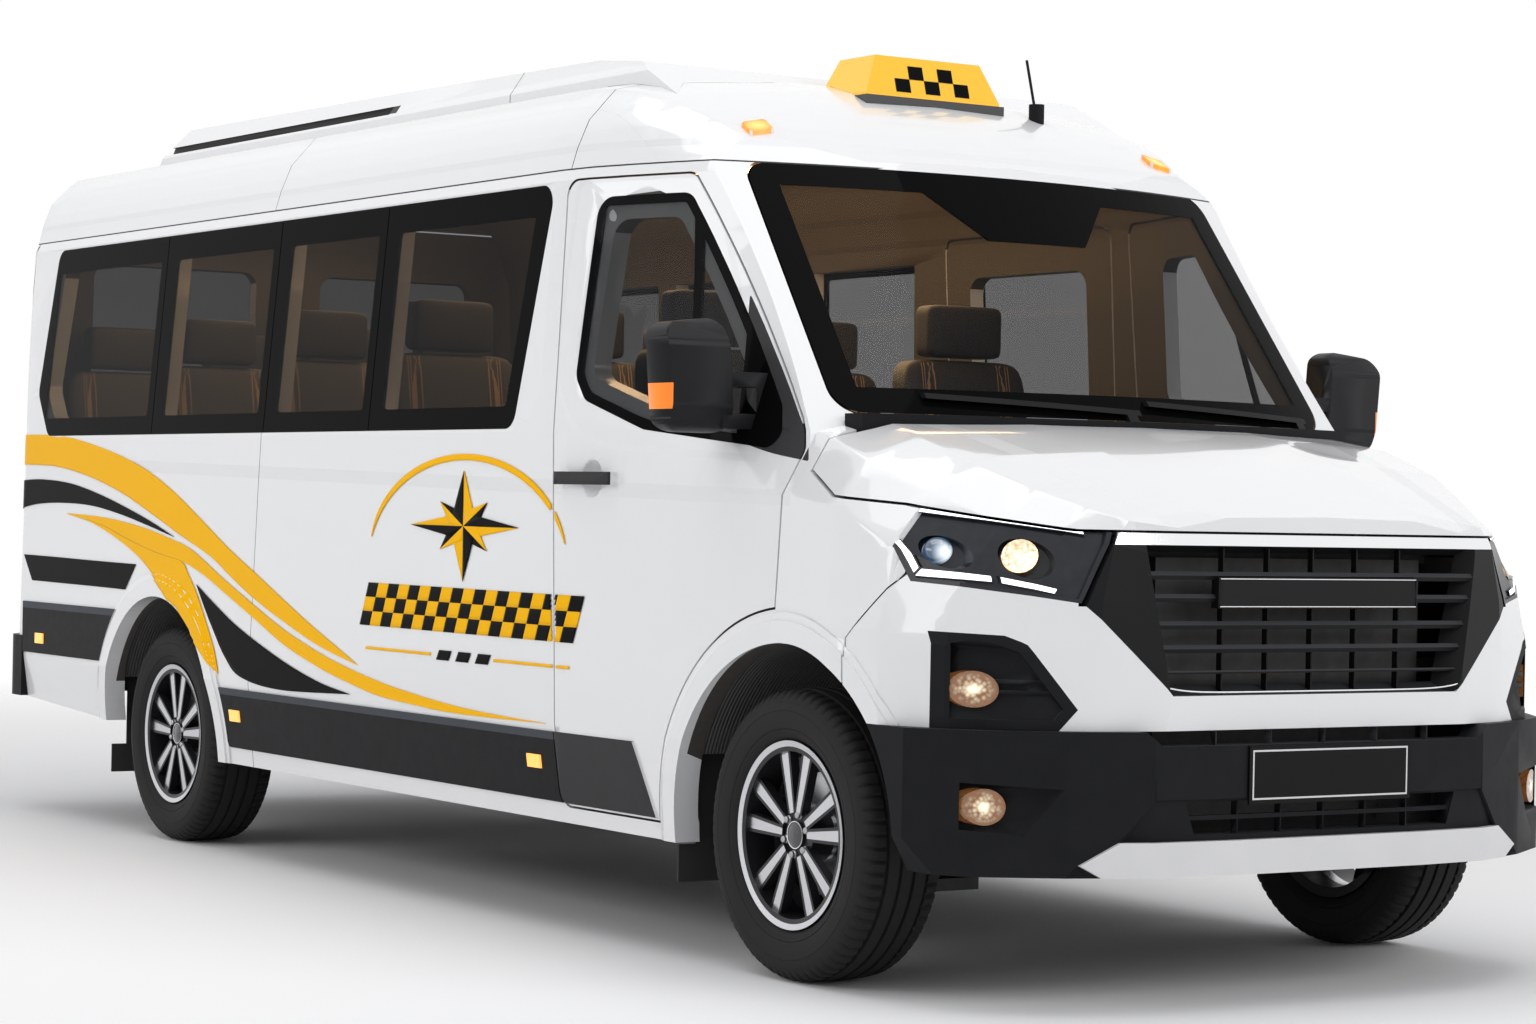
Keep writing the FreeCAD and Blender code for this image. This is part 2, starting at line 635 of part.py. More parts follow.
def strap(side, height, toward):
    """A flat strap from a barrel to the skin, towards the frame (1) or the door (-1)."""
    line = tail_skin_x(height) - d.hinge_line_back
    out = d.tail_door_half_width
    return block((line - d.strap_thickness / 2, line + d.hinge_line_back + d.wall / 2),
                 (side * out, side * (out + toward * d.strap_width)),
                 (height, height + d.barrel_length - d.barrel_radius))


barrel_heights = [d.tail_door_foot + (d.tail_door_head - d.tail_door_foot) * share
                  for share in BARREL_HEIGHT_SHARES]
hinge_parts = [piece for side, word in SIDES for height in barrel_heights
               for piece in (barrel(side, height), strap(side, height, 1))]
keep("tail_frame", tail_frame.fuse(hinge_parts).removeSplitter())
keep("tail_lamps", Part.makeCompound([lamp_right, mirrored(lamp_right)]))
tail_glass_skin = outer_form.cut(tail_side(d.glass_depth))
tail_rebate_skin = outer_form.cut(tail_side(d.glass_depth + d.fit_gap))
for side, word in SIDES:
    leaf = tail_slab.common(block(tail_x, (side * d.leaf_seam / 2, side * (d.tail_door_half_width - d.leaf_seam)),
                                  (d.tail_door_foot + d.leaf_seam, d.tail_door_head - d.leaf_seam)))
    pane_outline = [(side * d.tail_glass_inner, d.tail_glass_foot), (side * d.tail_glass_outer, d.tail_glass_foot),
                    (side * d.tail_glass_outer, d.tail_glass_head), (side * d.tail_glass_inner, d.tail_glass_head)]
    recess = tail_rebate_skin.common(front_slab(grown(pane_outline, d.fit_gap), *tail_x, d.band_round))
    pane = tail_glass_skin.common(front_slab(pane_outline, *tail_x, d.band_round))
    leaf = leaf.cut(recess).cut(front_slab(grown(pane_outline, -d.clear_border), *tail_x, d.band_round))
    above = d.barrel_length + d.fit_gap
    for height in barrel_heights:
        leaf = leaf.fuse([barrel(side, height + above), strap(side, height + above, -1)])
    keep("rear_door_" + word, leaf.removeSplitter())
    keep("rear_door_" + word + "_glass", pane)

# The nose: bonnet, wings and front panel share one form, lofted through cross-sections.
d.put(nose_length=860, nose_half_width=1000, nose_height=1400, nose_wall=30)
NOSE_SHARES = (
    (0.0, ((1.002, 0.4), (0.99, 0.629), (0.971, 0.843), (0.877, 0.954), (0.7, 0.984), (0.35, 0.997), (0, 1))),
    (0.302, ((1.01, 0.4), (1.006, 0.629), (0.985, 0.82), (0.9, 0.905), (0.76, 0.95), (0.35, 0.966), (0, 0.97))),
    (0.535, ((1.0, 0.4), (1.0, 0.614), (0.965, 0.76), (0.86, 0.85), (0.74, 0.905), (0.35, 0.93), (0, 0.935))),
    (0.721, ((0.93, 0.4), (0.93, 0.6), (0.885, 0.721), (0.79, 0.805), (0.68, 0.86), (0.35, 0.89), (0, 0.895))),
    (0.86, ((0.81, 0.4), (0.81, 0.593), (0.77, 0.7), (0.7, 0.79), (0.62, 0.83), (0.35, 0.853), (0, 0.858))),
    (0.953, ((0.64, 0.4), (0.64, 0.586), (0.63, 0.68), (0.6, 0.77), (0.56, 0.81), (0.35, 0.83), (0, 0.833))),
    (1.0, ((0.47, 0.4), (0.47, 0.571), (0.465, 0.66), (0.46, 0.75), (0.445, 0.8), (0.3, 0.818), (0, 0.822))))
nose_tip = nose_tail + d.nose_length


def nose_solid(inset):
    """The nose's form, moved in by the inset at its top, sides and front."""
    sections = []
    for along, row in NOSE_SHARES:
        points = [(d.nose_half_width * out, d.nose_height * up) for out, up in row]
        sections.append(full_section(nose_tail + d.nose_length * along, moved_in(points, inset)))
    front = nose_tip - inset
    return ruled_loft(sections).common(block((nose_tail - d.overrun, front), (-2 * half, 2 * half), (0, 2 * crown)))


def nose_layer(outside, inside):
    """The part of the nose's skin between two depths, each counted inward."""
    return nose_solid(outside).cut(nose_solid(inside))


nose_form = nose_solid(0)
hollow = nose_solid(d.nose_wall)
below = hollow.copy()
below.translate(Vector(0, 0, -d.nose_wall * 2))
nose_shell = nose_form.cut(hollow).cut(below)

# The bonnet's seam runs along the wing and over the headlamp to the nose.
d.put(seam_rear=5, seam_rear_height=1243, seam_knee=150, seam_knee_height=1182, seam_lamp=360,
      seam_lamp_height=1166, seam_nose=700, seam_nose_height=1113, bonnet_bow_radius=3000,
      bonnet_rear_middle=130, cowl_gap=8)
SEAM = [(d.seam_rear, d.seam_rear_height), (d.seam_knee, d.seam_knee_height),
        (d.seam_lamp, d.seam_lamp_height), (d.seam_nose, d.seam_nose_height)]


def seam_line(drop):
    line = [(ahead(station) - drop, height - drop) for station, height in SEAM]
    return line + [(nose_tip + d.overrun, d.seam_nose_height - drop)]


def cowl_drum(step):
    centre = Vector(ahead(d.bonnet_rear_middle - d.bonnet_bow_radius), 0, 0)
    return Part.makeCylinder(d.bonnet_bow_radius + step, crown, centre)


over_seam = [(ahead(d.seam_rear), crown)] + seam_line(0) + [(nose_tip + d.overrun, crown)]
under_seam = [(ahead(d.seam_rear) - d.seam, crown)] + seam_line(d.seam)
under_seam += [(nose_tip + d.overrun, 0), (nose_tail - d.overrun, 0), (nose_tail - d.overrun, crown)]
under_bonnet = side_slab(under_seam, -half, half)
bonnet = nose_shell.common(side_slab(over_seam, -half, half)).cut(cowl_drum(0))
keep("bonnet", largest(bonnet))

# Headlamps: closed units as deep as their housings. Their face is recessed inside a rim and
# carries two light bars, a projector and a round reflector.
d.put(lamp_in_top=577, lamp_out_top=992, lamp_top=1150, lamp_out_rise=60, lamp_in_foot=675, lamp_out_foot=952,
      lamp_foot_in=943, lamp_foot_out=985, head_lamp_depth=90, lamp_back=395, lamp_face=14, lamp_rim=9,
      bar_face=5, projector_out=884, projector_height=1053, projector_radius=38, reflector_out=760,
      reflector_height=1042, reflector_radius=46, pocket_depth=34)
lamp_outline = [(-d.lamp_in_top, d.lamp_top), (-d.lamp_out_top, d.lamp_top + d.lamp_out_rise),
                (-d.lamp_out_foot, d.lamp_foot_out), (-d.lamp_in_foot, d.lamp_foot_in)]
LIGHT_BAR_SHARES = ((0.065, 0.88), (0.83, 0.655), (0.83, 0.585), (0.065, 0.8))
CORNER_BAR_SHARES = ((0.04, 0.71), (0.09, 0.7), (0.14, 0.275), (0.38, 0.225), (0.38, 0.16), (0.11, 0.2))
SHORT_BAR_SHARES = ((0.41, 0.22), (0.66, 0.125), (0.64, 0.07), (0.41, 0.155))


def lamp_points(shares):
    """Points on the right headlamp as shares of its width inward and of its height."""
    width = d.lamp_out_top - d.lamp_in_top
    height = d.lamp_top + d.lamp_out_rise - d.lamp_foot_in
    return [(-d.lamp_out_top + width * across, d.lamp_foot_in + height * up) for across, up in shares]


lamp_x = (ahead(d.lamp_back), nose_reach)
lamp_unit = nose_layer(0, d.head_lamp_depth).common(front_slab(lamp_outline, *lamp_x)).common(under_bonnet)
lamp_hole = front_slab(grown(lamp_outline, d.fit_gap), lamp_x[0] - d.fit_gap, nose_reach)
lamp_bowl = nose_layer(-d.lamp_face, d.lamp_face).common(front_slab(grown(lamp_outline, -d.lamp_rim), *lamp_x))
lamp_unit = lamp_unit.cut(lamp_bowl)
for out, height, radius in ((d.projector_out, d.projector_height, d.projector_radius),
                            (d.reflector_out, d.reflector_height, d.reflector_radius)):
    start = Vector(ahead(d.lamp_back), -out, height)
    pocket = rod(start, start + Vector(d.nose_length, 0, 0), radius).cut(nose_solid(d.pocket_depth))
    lamp_unit = lamp_unit.cut(pocket)
bar_layer = nose_layer(d.bar_face, d.lamp_face + d.lamp_rim)
light_bars = [bar_layer.common(front_slab(lamp_points(shares), *lamp_x))
              for shares in (LIGHT_BAR_SHARES, CORNER_BAR_SHARES, SHORT_BAR_SHARES)]
lamp_unit = lamp_unit.fuse(light_bars).common(under_bonnet).removeSplitter()
keep("headlamps", with_mirrored(largest(lamp_unit)))

# Wings: each side of the nose below the bonnet's seam, back to the front door.
d.put(wing_seam_high=434, wing_seam_turn=1000, wing_seam_low=262, wing_seam_low_height=846,
      cowl_half_width=800, bumper_head=650)
wing_line = [(ahead(d.wing_seam_high), crown), (ahead(d.wing_seam_high), d.wing_seam_turn),
             (ahead(d.wing_seam_low), d.wing_seam_low_height), (ahead(d.wing_seam_low), 0)]
nose_rear_corners = [(nose_tail - d.overrun, 0), (nose_tail - d.overrun, crown)]
wing_region = side_slab(wing_line + nose_rear_corners, -half, half)
panel_line = [(x + d.seam, z) for x, z in wing_line]
panel_region = side_slab(panel_line + nose_rear_corners, -half, half)
nose_flares = flare(front_axle, d.arch_radius, nose_layer)
outer_nose = nose_shell.fuse(nose_flares).cut(cross_rod(front_axle, d.arch_radius))
outer_nose = outer_nose.cut(block((nose_tail - 2 * d.overrun, nose_tail), (-half, half), (0, crown)))
outer_nose = outer_nose.common(under_bonnet)
cabin_front = cabin_solid(-d.fit_gap).common(screen_side(-d.fit_gap)).common(
    block(ends, (-half, half), (d.belt_height - d.fit_gap, crown)))
wings = outer_nose.common(wing_region).cut(cabin_front)
wings = wings.cut(block((nose_tail - d.overrun, nose_reach), (-d.cowl_half_width, d.cowl_half_width), (0, crown)))
wings = wings.cut(lamp_hole).cut(mirrored(lamp_hole))
wings = wings.cut(block((ahead(0), nose_reach), (-half, half), (0, d.bumper_head + d.fit_gap)))
wing_right = largest(wings.common(block(ends, (-half, 0), (0, crown))))
keep("front_wings", with_mirrored(wing_right))

# Front panel, with the grille in its middle. The grille is a surround whose cheeks slope
# inward, five cross bars over upright ribs, a blank plate, and a bright bar along its top.
d.put(surround_top=1107, surround_half_top=588, surround_side=936, surround_half_side=664,
      surround_foot=731, surround_half_foot=450, open_top=1062, open_half_top=490, open_foot=754,
      open_half_foot=418, cheek=42, cheek_depth=62, surround_depth=60, bright_bar_foot=1080, bright_stand=5,
      bar_front=14, bar_depth=34, bar_rise=19, thin_bar_rise=8, rib_width=4, rib_front=30, plate_half=315,
      plate_low=934, plate_high=1007, plate_front=5)
BAR_SHARES = (0.83, 0.66, 0.455, 0.275)
THIN_BAR_SHARE = 0.1
RIB_SHARES = (-0.67, -0.335, 0.0, 0.335, 0.67)
surround_outline = both_sides([(d.surround_half_top, d.surround_top), (d.surround_half_side, d.surround_side),
                               (d.surround_half_foot, d.surround_foot)])
opening_outline = both_sides([(d.open_half_top, d.open_top), (d.open_half_foot, d.open_foot)])
grille_x = (nose_tip - 4 * d.surround_depth, nose_reach)
grille_hole = front_slab(grown(surround_outline, d.fit_gap), *grille_x)
front_panel = outer_nose.cut(panel_region).cut(lamp_hole).cut(mirrored(lamp_hole)).cut(grille_hole)
front_panel = front_panel.cut(block((nose_tail, nose_reach), (-half, half), (0, d.bumper_head + d.fit_gap)))
bridge = front_slab([(-d.surround_half_top + d.seam, crown), (-d.surround_half_top - d.seam * 6, crown),
                     (-d.lamp_in_foot - d.seam, d.surround_side), (-d.surround_half_side + d.seam, d.surround_side)],
                    *grille_x)
front_panel = front_panel.cut(bridge).cut(mirrored(bridge))

# Fog lamp housings in the panel: a pocket inside a broad rim, with two ribs in it.
d.put(pod_depth=80, pod_rim=24, pod_pocket=42, fog_radius=42, fog_out=880, fog_height=742, fog_face=10,
      fog_back=420, pod_outer=945, pod_inner=682, pod_foot=650.3, pod_head=872, pod_rib_rise=9,
      pod_rib_front=16)
POD_SHARES = ((0.0, 1.0), (0.44, 0.973), (0.59, 0.883), (1.0, 0.22), (0.85, 0.0), (0.0, 0.0))
POD_RIB_SHARES = (0.48, 0.37)
POD_RIB_REACH_SHARES = (0.38, 0.8)


def pod_point(across, up):
    return (-d.pod_outer + (d.pod_outer - d.pod_inner) * across, d.pod_foot + (d.pod_head - d.pod_foot) * up)


pod_outline = [pod_point(across, up) for across, up in POD_SHARES]
pod_x = (ahead(d.fog_back), nose_reach)
pod_hole = front_slab(grown(pod_outline, d.fit_gap), *pod_x)
front_panel = front_panel.cut(pod_hole).cut(mirrored(pod_hole))
keep("front_panel", largest(front_panel))

surround = nose_layer(0, d.surround_depth).common(front_slab(surround_outline, *grille_x))
bright_bar = nose_layer(-d.bright_stand, d.surround_depth).common(
    front_slab(surround_outline, *grille_x)).common(block(grille_x, (-half, half), (d.bright_bar_foot, crown)))
surround = surround.fuse(bright_bar)


def opening_section(x, step):
    return [Vector(x, y, z) for y, z in grown(opening_outline, step)]


cheeks = ruled_loft([opening_section(nose_tip - d.cheek_depth, 0), opening_section(nose_tip, d.cheek)])
cheeks = cheeks.common(block(grille_x, (-half, half), (0, d.bright_bar_foot)))
opening = front_slab(opening_outline, *grille_x)
surround = surround.cut(cheeks).cut(opening)
bar_reach = front_slab(grown(opening_outline, d.cheek), *grille_x)
bars = []
opening_height = d.open_top - d.open_foot
for share, rise in [(share, d.bar_rise) for share in BAR_SHARES] + [(THIN_BAR_SHARE, d.thin_bar_rise)]:
    height = d.open_foot + opening_height * share
    face = nose_tip - d.bar_front
    back = face - d.bar_depth
    blade = side_slab([(back, height - rise / 4), (face - rise / 3, height - rise / 2), (face, height),
                       (face - rise / 3, height + rise / 2), (back, height + rise / 4)], -half, half)
    bars.append(blade.common(bar_reach))
for share in RIB_SHARES:
    middle = d.open_half_foot * share
    bars.append(block((nose_tip - d.bar_front - d.bar_depth, nose_tip - d.rib_front),
                      (middle - d.rib_width / 2, middle + d.rib_width / 2),
                      (d.open_foot - d.cheek / 2, d.open_top + d.seam * 2)))
bars.append(block((nose_tip - d.bar_front - d.bar_depth / 2, nose_tip - d.plate_front),
                  (-d.plate_half, d.plate_half), (d.plate_low, d.plate_high)))
keep("grille", surround.fuse(bars).removeSplitter())

pod = nose_layer(0, d.pod_depth).common(front_slab(pod_outline, *pod_x))
pod = largest(pod)
pod = pod.cut(nose_layer(-d.pod_rim, d.pod_pocket).common(front_slab(grown(pod_outline, -d.pod_rim), *pod_x)))
rib_layer = nose_layer(d.pod_rib_front, d.pod_pocket + d.seam)
for share in POD_RIB_SHARES:
    (y_start, z), (y_end, z) = (pod_point(across, share) for across in POD_RIB_REACH_SHARES)
    pod = pod.fuse(rib_layer.common(block(pod_x, (y_start, y_end), (z, z + d.pod_rib_rise))))


def lamp_bore(out, height, radius):
    return rod(Vector(ahead(d.fog_back), -out, height), Vector(nose_reach, -out, height), radius)


fog_upper = lamp_bore(d.fog_out, d.fog_height, d.fog_radius).common(nose_layer(d.fog_face, d.pod_depth))
pod = pod.cut(lamp_bore(d.fog_out, d.fog_height, d.fog_radius + d.fit_gap)).removeSplitter()
keep("fog_housings", with_mirrored(pod))

# Bumper: a deep dark moulding that wraps to the arches, with a slot over its centre bar, a
# low grille, fog lamp pockets at its corners and a bright skid bar let into its foot.
d.put(bumper_foot=316, bumper_wall=70, bumper_corner_foot=955, bumper_corner_height=420, bumper_out=1008,
      skid_stand=8, skid_depth=30, slot_half=500, slot_foot=617, slot_flare=40, low_half_top=427,
      low_half_foot=400, low_top=488, low_foot=410, low_bar=10, low_depth=40, cheek_half_top=515,
      cheek_half_foot=590, cheek_step=10, skid_top=397, skid_half_top=600, skid_tip=690, skid_tip_height=345,
      skid_foot=316.3, skid_half_foot=640, low_fog_out=873, low_fog_height=475, low_pocket=34)
BUMPER_SHARES = ((0.388, 1.0), (0.588, 0.992), (0.753, 0.893), (0.882, 0.714), (0.97, 0.516), (0.99, 0.298))
LOW_POCKET_SHARES = ((0.0, 1.0), (1.0, 0.9), (0.61, 0.0), (0.0, 0.1))
d.put(low_pocket_outer=920, low_pocket_inner=723, low_pocket_head=530, low_pocket_foot=410)


def bumper_plan(step, reach):
    """The bumper's plan, its front moved out by the step and its ends drawn back by the reach."""
    row = [(ahead(d.front_overhang * x), -d.bumper_out * y) for x, y in BUMPER_SHARES]
    moved = grown(row + [(x, -y) for x, y in reversed(row)], step)
    moved[0] = (moved[0][0] - reach, moved[0][1])
    moved[-1] = (moved[-1][0] - reach, moved[-1][1])
    return moved


def bumper_layer(outside, inside):
    outer = plan_slab(bumper_plan(-outside, 0), d.bumper_foot, d.bumper_head)
    return outer.cut(plan_slab(bumper_plan(-inside, 3 * d.overrun), 0, crown))


bumper_x = (ahead(d.fog_back), nose_reach + d.overrun)
bumper = bumper_layer(0, d.bumper_wall).cut(cross_rod(front_axle, d.arch_radius))
bumper_side = front_slab(both_sides([(d.bumper_out + d.seam, d.bumper_head),
                                     (d.bumper_out + d.seam, d.bumper_corner_height),
                                     (d.bumper_corner_foot, d.bumper_foot)]), ahead(0), nose_reach + d.overrun)
bumper = bumper.common(bumper_side)
slot = front_slab(both_sides([(d.slot_half + d.slot_flare, d.bumper_head), (d.slot_half, d.slot_foot)]), *bumper_x)
cheek_outline = both_sides([(d.cheek_half_top, d.low_top + d.seam), (d.cheek_half_foot, d.skid_top)])
low_outline = both_sides([(d.low_half_top, d.low_top), (d.low_half_foot, d.low_foot)])
bumper = bumper.cut(slot).cut(bumper_layer(0, d.cheek_step).common(front_slab(cheek_outline, *bumper_x)))
bumper = bumper.cut(front_slab(low_outline, *bumper_x))
low_bars = [block(bumper_x, (-d.low_half_top, d.low_half_top),
                  ((d.low_top + d.low_foot - d.low_bar) / 2, (d.low_top + d.low_foot + d.low_bar) / 2))]
for share in RIB_SHARES:
    middle = d.low_half_foot * share
    low_bars.append(block(bumper_x, (middle - d.rib_width / 2, middle + d.rib_width / 2),
                          (d.low_foot - d.seam, d.low_top + d.seam)))
low_layer = bumper_layer(d.low_depth / 2, d.low_depth)
bumper = bumper.fuse([low_layer.common(bar) for bar in low_bars])
slot_ribs = [block(bumper_x, (d.slot_half * share - d.rib_width / 2, d.slot_half * share + d.rib_width / 2),
                   (d.slot_foot - d.seam, d.bumper_head - d.fit_gap)) for share in RIB_SHARES]
bumper = bumper.fuse([low_layer.common(rib) for rib in slot_ribs])
pocket_width = d.low_pocket_outer - d.low_pocket_inner
pocket_height = d.low_pocket_head - d.low_pocket_foot
pocket_outline = [(-d.low_pocket_outer + pocket_width * across, d.low_pocket_foot + pocket_height * up)
                  for across, up in LOW_POCKET_SHARES]
low_pocket = bumper_layer(-d.skid_stand, d.low_pocket).common(front_slab(pocket_outline, *bumper_x))
bumper = bumper.cut(low_pocket).cut(mirrored(low_pocket))
lower_bore = lamp_bore(d.low_fog_out, d.low_fog_height, d.fog_radius + d.fit_gap)
bumper = bumper.cut(lower_bore).cut(mirrored(lower_bore))
fog_lower = lamp_bore(d.low_fog_out, d.low_fog_height, d.fog_radius).common(bumper_layer(d.fog_face, d.bumper_wall))
skid_outline = both_sides([(d.skid_half_top, d.skid_top), (d.skid_tip, d.skid_tip_height),
                           (d.skid_half_foot, d.skid_foot)])
skid_form = plan_slab(bumper_plan(d.skid_stand, 0), 0, d.bumper_head).cut(
    plan_slab(bumper_plan(-d.skid_depth, 3 * d.overrun), 0, crown))
skid = skid_form.common(front_slab(skid_outline, *bumper_x))
bumper = bumper.cut(front_slab(grown(skid_outline, d.fit_gap), *bumper_x).common(
    plan_slab(bumper_plan(2 * d.skid_stand, 0), 0, d.bumper_head)).cut(
    plan_slab(bumper_plan(-d.skid_depth - d.fit_gap, 3 * d.overrun), 0, crown)))
keep("front_bumper", largest(bumper.removeSplitter()))
keep("skid_bar", largest(skid))
keep("fog_lamps", Part.makeCompound(with_mirrored(fog_upper).Solids + with_mirrored(fog_lower).Solids))

# Number plate: a blank plate on the bumper's centre bar.
d.put(plate_half_width=255, plate_foot=479, plate_head=615, plate_thickness=6, bumper_face=841.5)
plate = sheet_box("number_plate", (ahead_text("bumper_face + fit_gap"),
                                   ahead_text("bumper_face + fit_gap + plate_thickness")),
                  ("-plate_half_width", "plate_half_width"), ("plate_foot", "plate_head"))
keep_feature("number_plate", plate)

# Cowl: the dark tray between the windscreen's foot and the bonnet, with the bonnet's hinges.
d.put(cowl_foot=1300, cowl_shelf=1339.5, cowl_head=1384, floor_front=62, bonnet_hinge_inner=620,
      bonnet_hinge_outer=680, bonnet_hinge_rear=20, bonnet_hinge_front=110)
cowl_x = (ahead(-d.floor_front) + d.fit_gap, ahead(d.bonnet_rear_middle))
cowl_y = (-d.cowl_half_width + d.seam, d.cowl_half_width - d.seam)
shelf = block(cowl_x, cowl_y, (d.cowl_foot, d.cowl_shelf))
cowl = block(cowl_x, cowl_y, (d.cowl_shelf, d.cowl_head)).cut(cabin_front).fuse(shelf)
cowl = cowl.common(cowl_drum(-d.cowl_gap))
cowl = cowl.cut(cabin_solid(-d.fit_gap).common(screen_side(-d.fit_gap)).cut(
    block((nose_tail, nose_reach), (-half, half), (0, d.belt_height))))
for side, word in SIDES:
    lug = block((ahead(d.bonnet_hinge_rear), ahead(d.bonnet_hinge_front)),
                (side * d.bonnet_hinge_inner, side * d.bonnet_hinge_outer), (d.cowl_foot, d.nose_height))
    lug = lug.common(nose_solid(d.nose_wall + d.fit_gap))
    cowl = cowl.fuse(lug)
keep("cowl", largest(cowl.removeSplitter()))

# Front-end carrier: radiator and posts on the frame rails, with pads behind the panel, the
# grille, the headlamps and the fog lamp housings.
d.put(floor_top=560, floor_thickness=40, rail_out=430, rail_width=80, rail_foot=400, frame_rear=4960,
      frame_front=700, cross_width=100, cross_inset=20, post_rear=560, post_front=640, radiator_rear=640,
      radiator_front=690, radiator_half=420, radiator_foot=560, radiator_head=1050, pad_rise=35,
      carrier_head=1075, panel_pad_foot=665, pod_pad_foot=770, pod_pad_inner=640)
rail_head = d.floor_top - d.floor_thickness
carrier = block((ahead(d.radiator_rear), ahead(d.radiator_front)), (-d.radiator_half, d.radiator_half),
                (d.radiator_foot, d.radiator_head))
post_x = (ahead(d.post_rear), ahead(d.post_front))
pads = [block(post_x, (-half, half), (d.carrier_head - d.pad_rise, d.carrier_head)).common(
    nose_solid(d.head_lamp_depth + d.fit_gap)),
    block((ahead(d.post_rear), nose_reach), (-d.radiator_half, d.radiator_half),
          (d.panel_pad_foot, d.panel_pad_foot + d.pad_rise)).common(nose_solid(d.nose_wall + d.fit_gap))]
for side, word in SIDES:
    pads.append(block(post_x, (side * (d.rail_out - d.rail_width / 2), side * (d.rail_out + d.rail_width / 2)),
                      (rail_head + d.fit_gap, d.carrier_head)))
    pads.append(block((ahead(d.post_rear), nose_reach), (side * d.open_half_top, side * (d.surround_half_top - d.cheek)),
                      (d.carrier_head - 2 * d.pad_rise, d.carrier_head - d.pad_rise / 2)).common(
        nose_solid(d.surround_depth + d.fit_gap)).cut(lamp_hole).cut(mirrored(lamp_hole)))
    pads.append(block((ahead(d.fog_back), ahead(d.post_front)), (side * d.pod_pad_inner, side * half),
                      (d.pod_pad_foot, d.pod_pad_foot + d.pad_rise)).common(nose_solid(d.pod_depth + d.fit_gap)))
    pads.append(block(post_x, (side * d.rail_out, side * (d.pod_pad_inner + d.pad_rise)),
                      (d.pod_pad_foot, d.pod_pad_foot + d.pad_rise)).common(nose_solid(d.pod_depth + d.fit_gap)))
keep("front_carrier", largest(carrier.fuse(pads).removeSplitter()))

# Underbody: floor with its bulkhead and wheel boxes.
d.put(floor_rear=5010, bulkhead_head=1339.7, wheel_box_radius=470, front_box_inner=535, rear_box_inner=700,
      wheel_box_wall=12)
floor = block((ahead(-d.floor_rear), ahead(-d.floor_front)), (-half, half), (rail_head, d.floor_top))
bulkhead = block((ahead(-d.floor_front - d.floor_thickness), ahead(-d.floor_front)), (-half, half),
                 (rail_head, d.bulkhead_head))
floor = floor.fuse(bulkhead).common(seat_form)


def wheel_drum(centre, side, inner, radius):
    return Part.makeCylinder(radius, half, Vector(centre.x, side * inner, centre.z), Vector(0, side, 0))


wheel_boxes = []
for centre, inner in ((front_axle, d.front_box_inner), (rear_axle_centre, d.rear_box_inner)):
    for side, word in SIDES:
        drum = wheel_drum(centre, side, inner - d.wheel_box_wall, d.wheel_box_radius + d.wheel_box_wall)
        drum = drum.common(block((ends[0], ahead(-d.floor_front)), (-half, half), (rail_head, crown)))
        wheel_boxes.append(drum)
        floor = floor.fuse(drum.common(seat_form)).cut(wheel_drum(centre, side, inner, d.wheel_box_radius))
for side, word in SIDES:
    floor = floor.cut(door_space(side, 2 * d.seam).cut(swing_form))
    floor = floor.fuse(hinge_plates(side, d.door_front + d.hinge_shift, d.hinge_length))
keep("floor_pan", largest(floor.removeSplitter()))

# Ladder frame under the floor, with a tow eye at its rear.
d.put(lug_half_width=7, lug_front=4900, lug_foot=340, lug_head=442, eye_station=5030, eye_height=372,
      eye_radius=32, eye_bore=18, pad_half_length=50, pad_drop=12, front_pad=1600, rear_pad=2800, engine_rear=80, engine_front=520, engine_half_width=300, engine_head=1040)
rail_z = ("rail_foot", "floor_top - floor_thickness")
frame_x = (ahead_text("-frame_rear"), ahead_text("frame_front"))
members = [sheet_box("rail_right", frame_x, ("-rail_out - rail_width / 2", "-rail_out + rail_width / 2"), rail_z),
           sheet_box("rail_left", frame_x, ("rail_out - rail_width / 2", "rail_out + rail_width / 2"), rail_z)]
CROSS_SHARES = (0.0, 0.135, 0.311, 0.488, 0.664, 0.797, 0.93, 0.982)
for number, share in enumerate(CROSS_SHARES):
    rear = "-frame_rear + %s * (frame_rear + frame_front - cross_width)" % share
    members.append(sheet_box("cross_member_%d" % number, (ahead_text(rear), ahead_text(rear + " + cross_width")),
                             ("-rail_out", "rail_out"),
                             ("rail_foot + cross_inset", "floor_top - floor_thickness - cross_inset")))
for name in ("front_pad", "rear_pad"):
    for word, rail in (("right", "-rail_out"), ("left", "rail_out")):
        members.append(sheet_box("%s_%s" % (name, word),
                                 (ahead_text("-%s - pad_half_length" % name),
                                  ahead_text("-%s + pad_half_length" % name)),
                                 (rail + " - rail_width / 2", rail + " + rail_width / 2"),
                                 ("rail_foot - pad_drop", "rail_foot + pad_drop")))
lug_y = ("-lug_half_width", "lug_half_width")
lug_plate = sheet_box("tow_plate", (ahead_text("-eye_station"), ahead_text("-lug_front")), lug_y,
                      ("lug_foot", "lug_head"))
eye = sheet_rod("tow_eye", ahead_text("-eye_station"), lug_y, "eye_height", "eye_radius")
ladder = sheet_fuse("ladder", members + [lug_plate, eye])
eye_hole = sheet_rod("tow_eye_hole", ahead_text("-eye_station"), ("-overrun", "overrun"), "eye_height", "eye_bore")
frame = doc.addObject("Part::Cut", "chassis_frame")
frame.Base = ladder
frame.Tool = eye_hole
frame.Refine = True
keep_feature("chassis_frame", frame)
keep_feature("engine", sheet_box("engine", (ahead_text("engine_rear"), ahead_text("engine_front")),
                                 ("-engine_half_width", "engine_half_width"),
                                 ("floor_top - floor_thickness - cross_inset + fit_gap", "engine_head")))

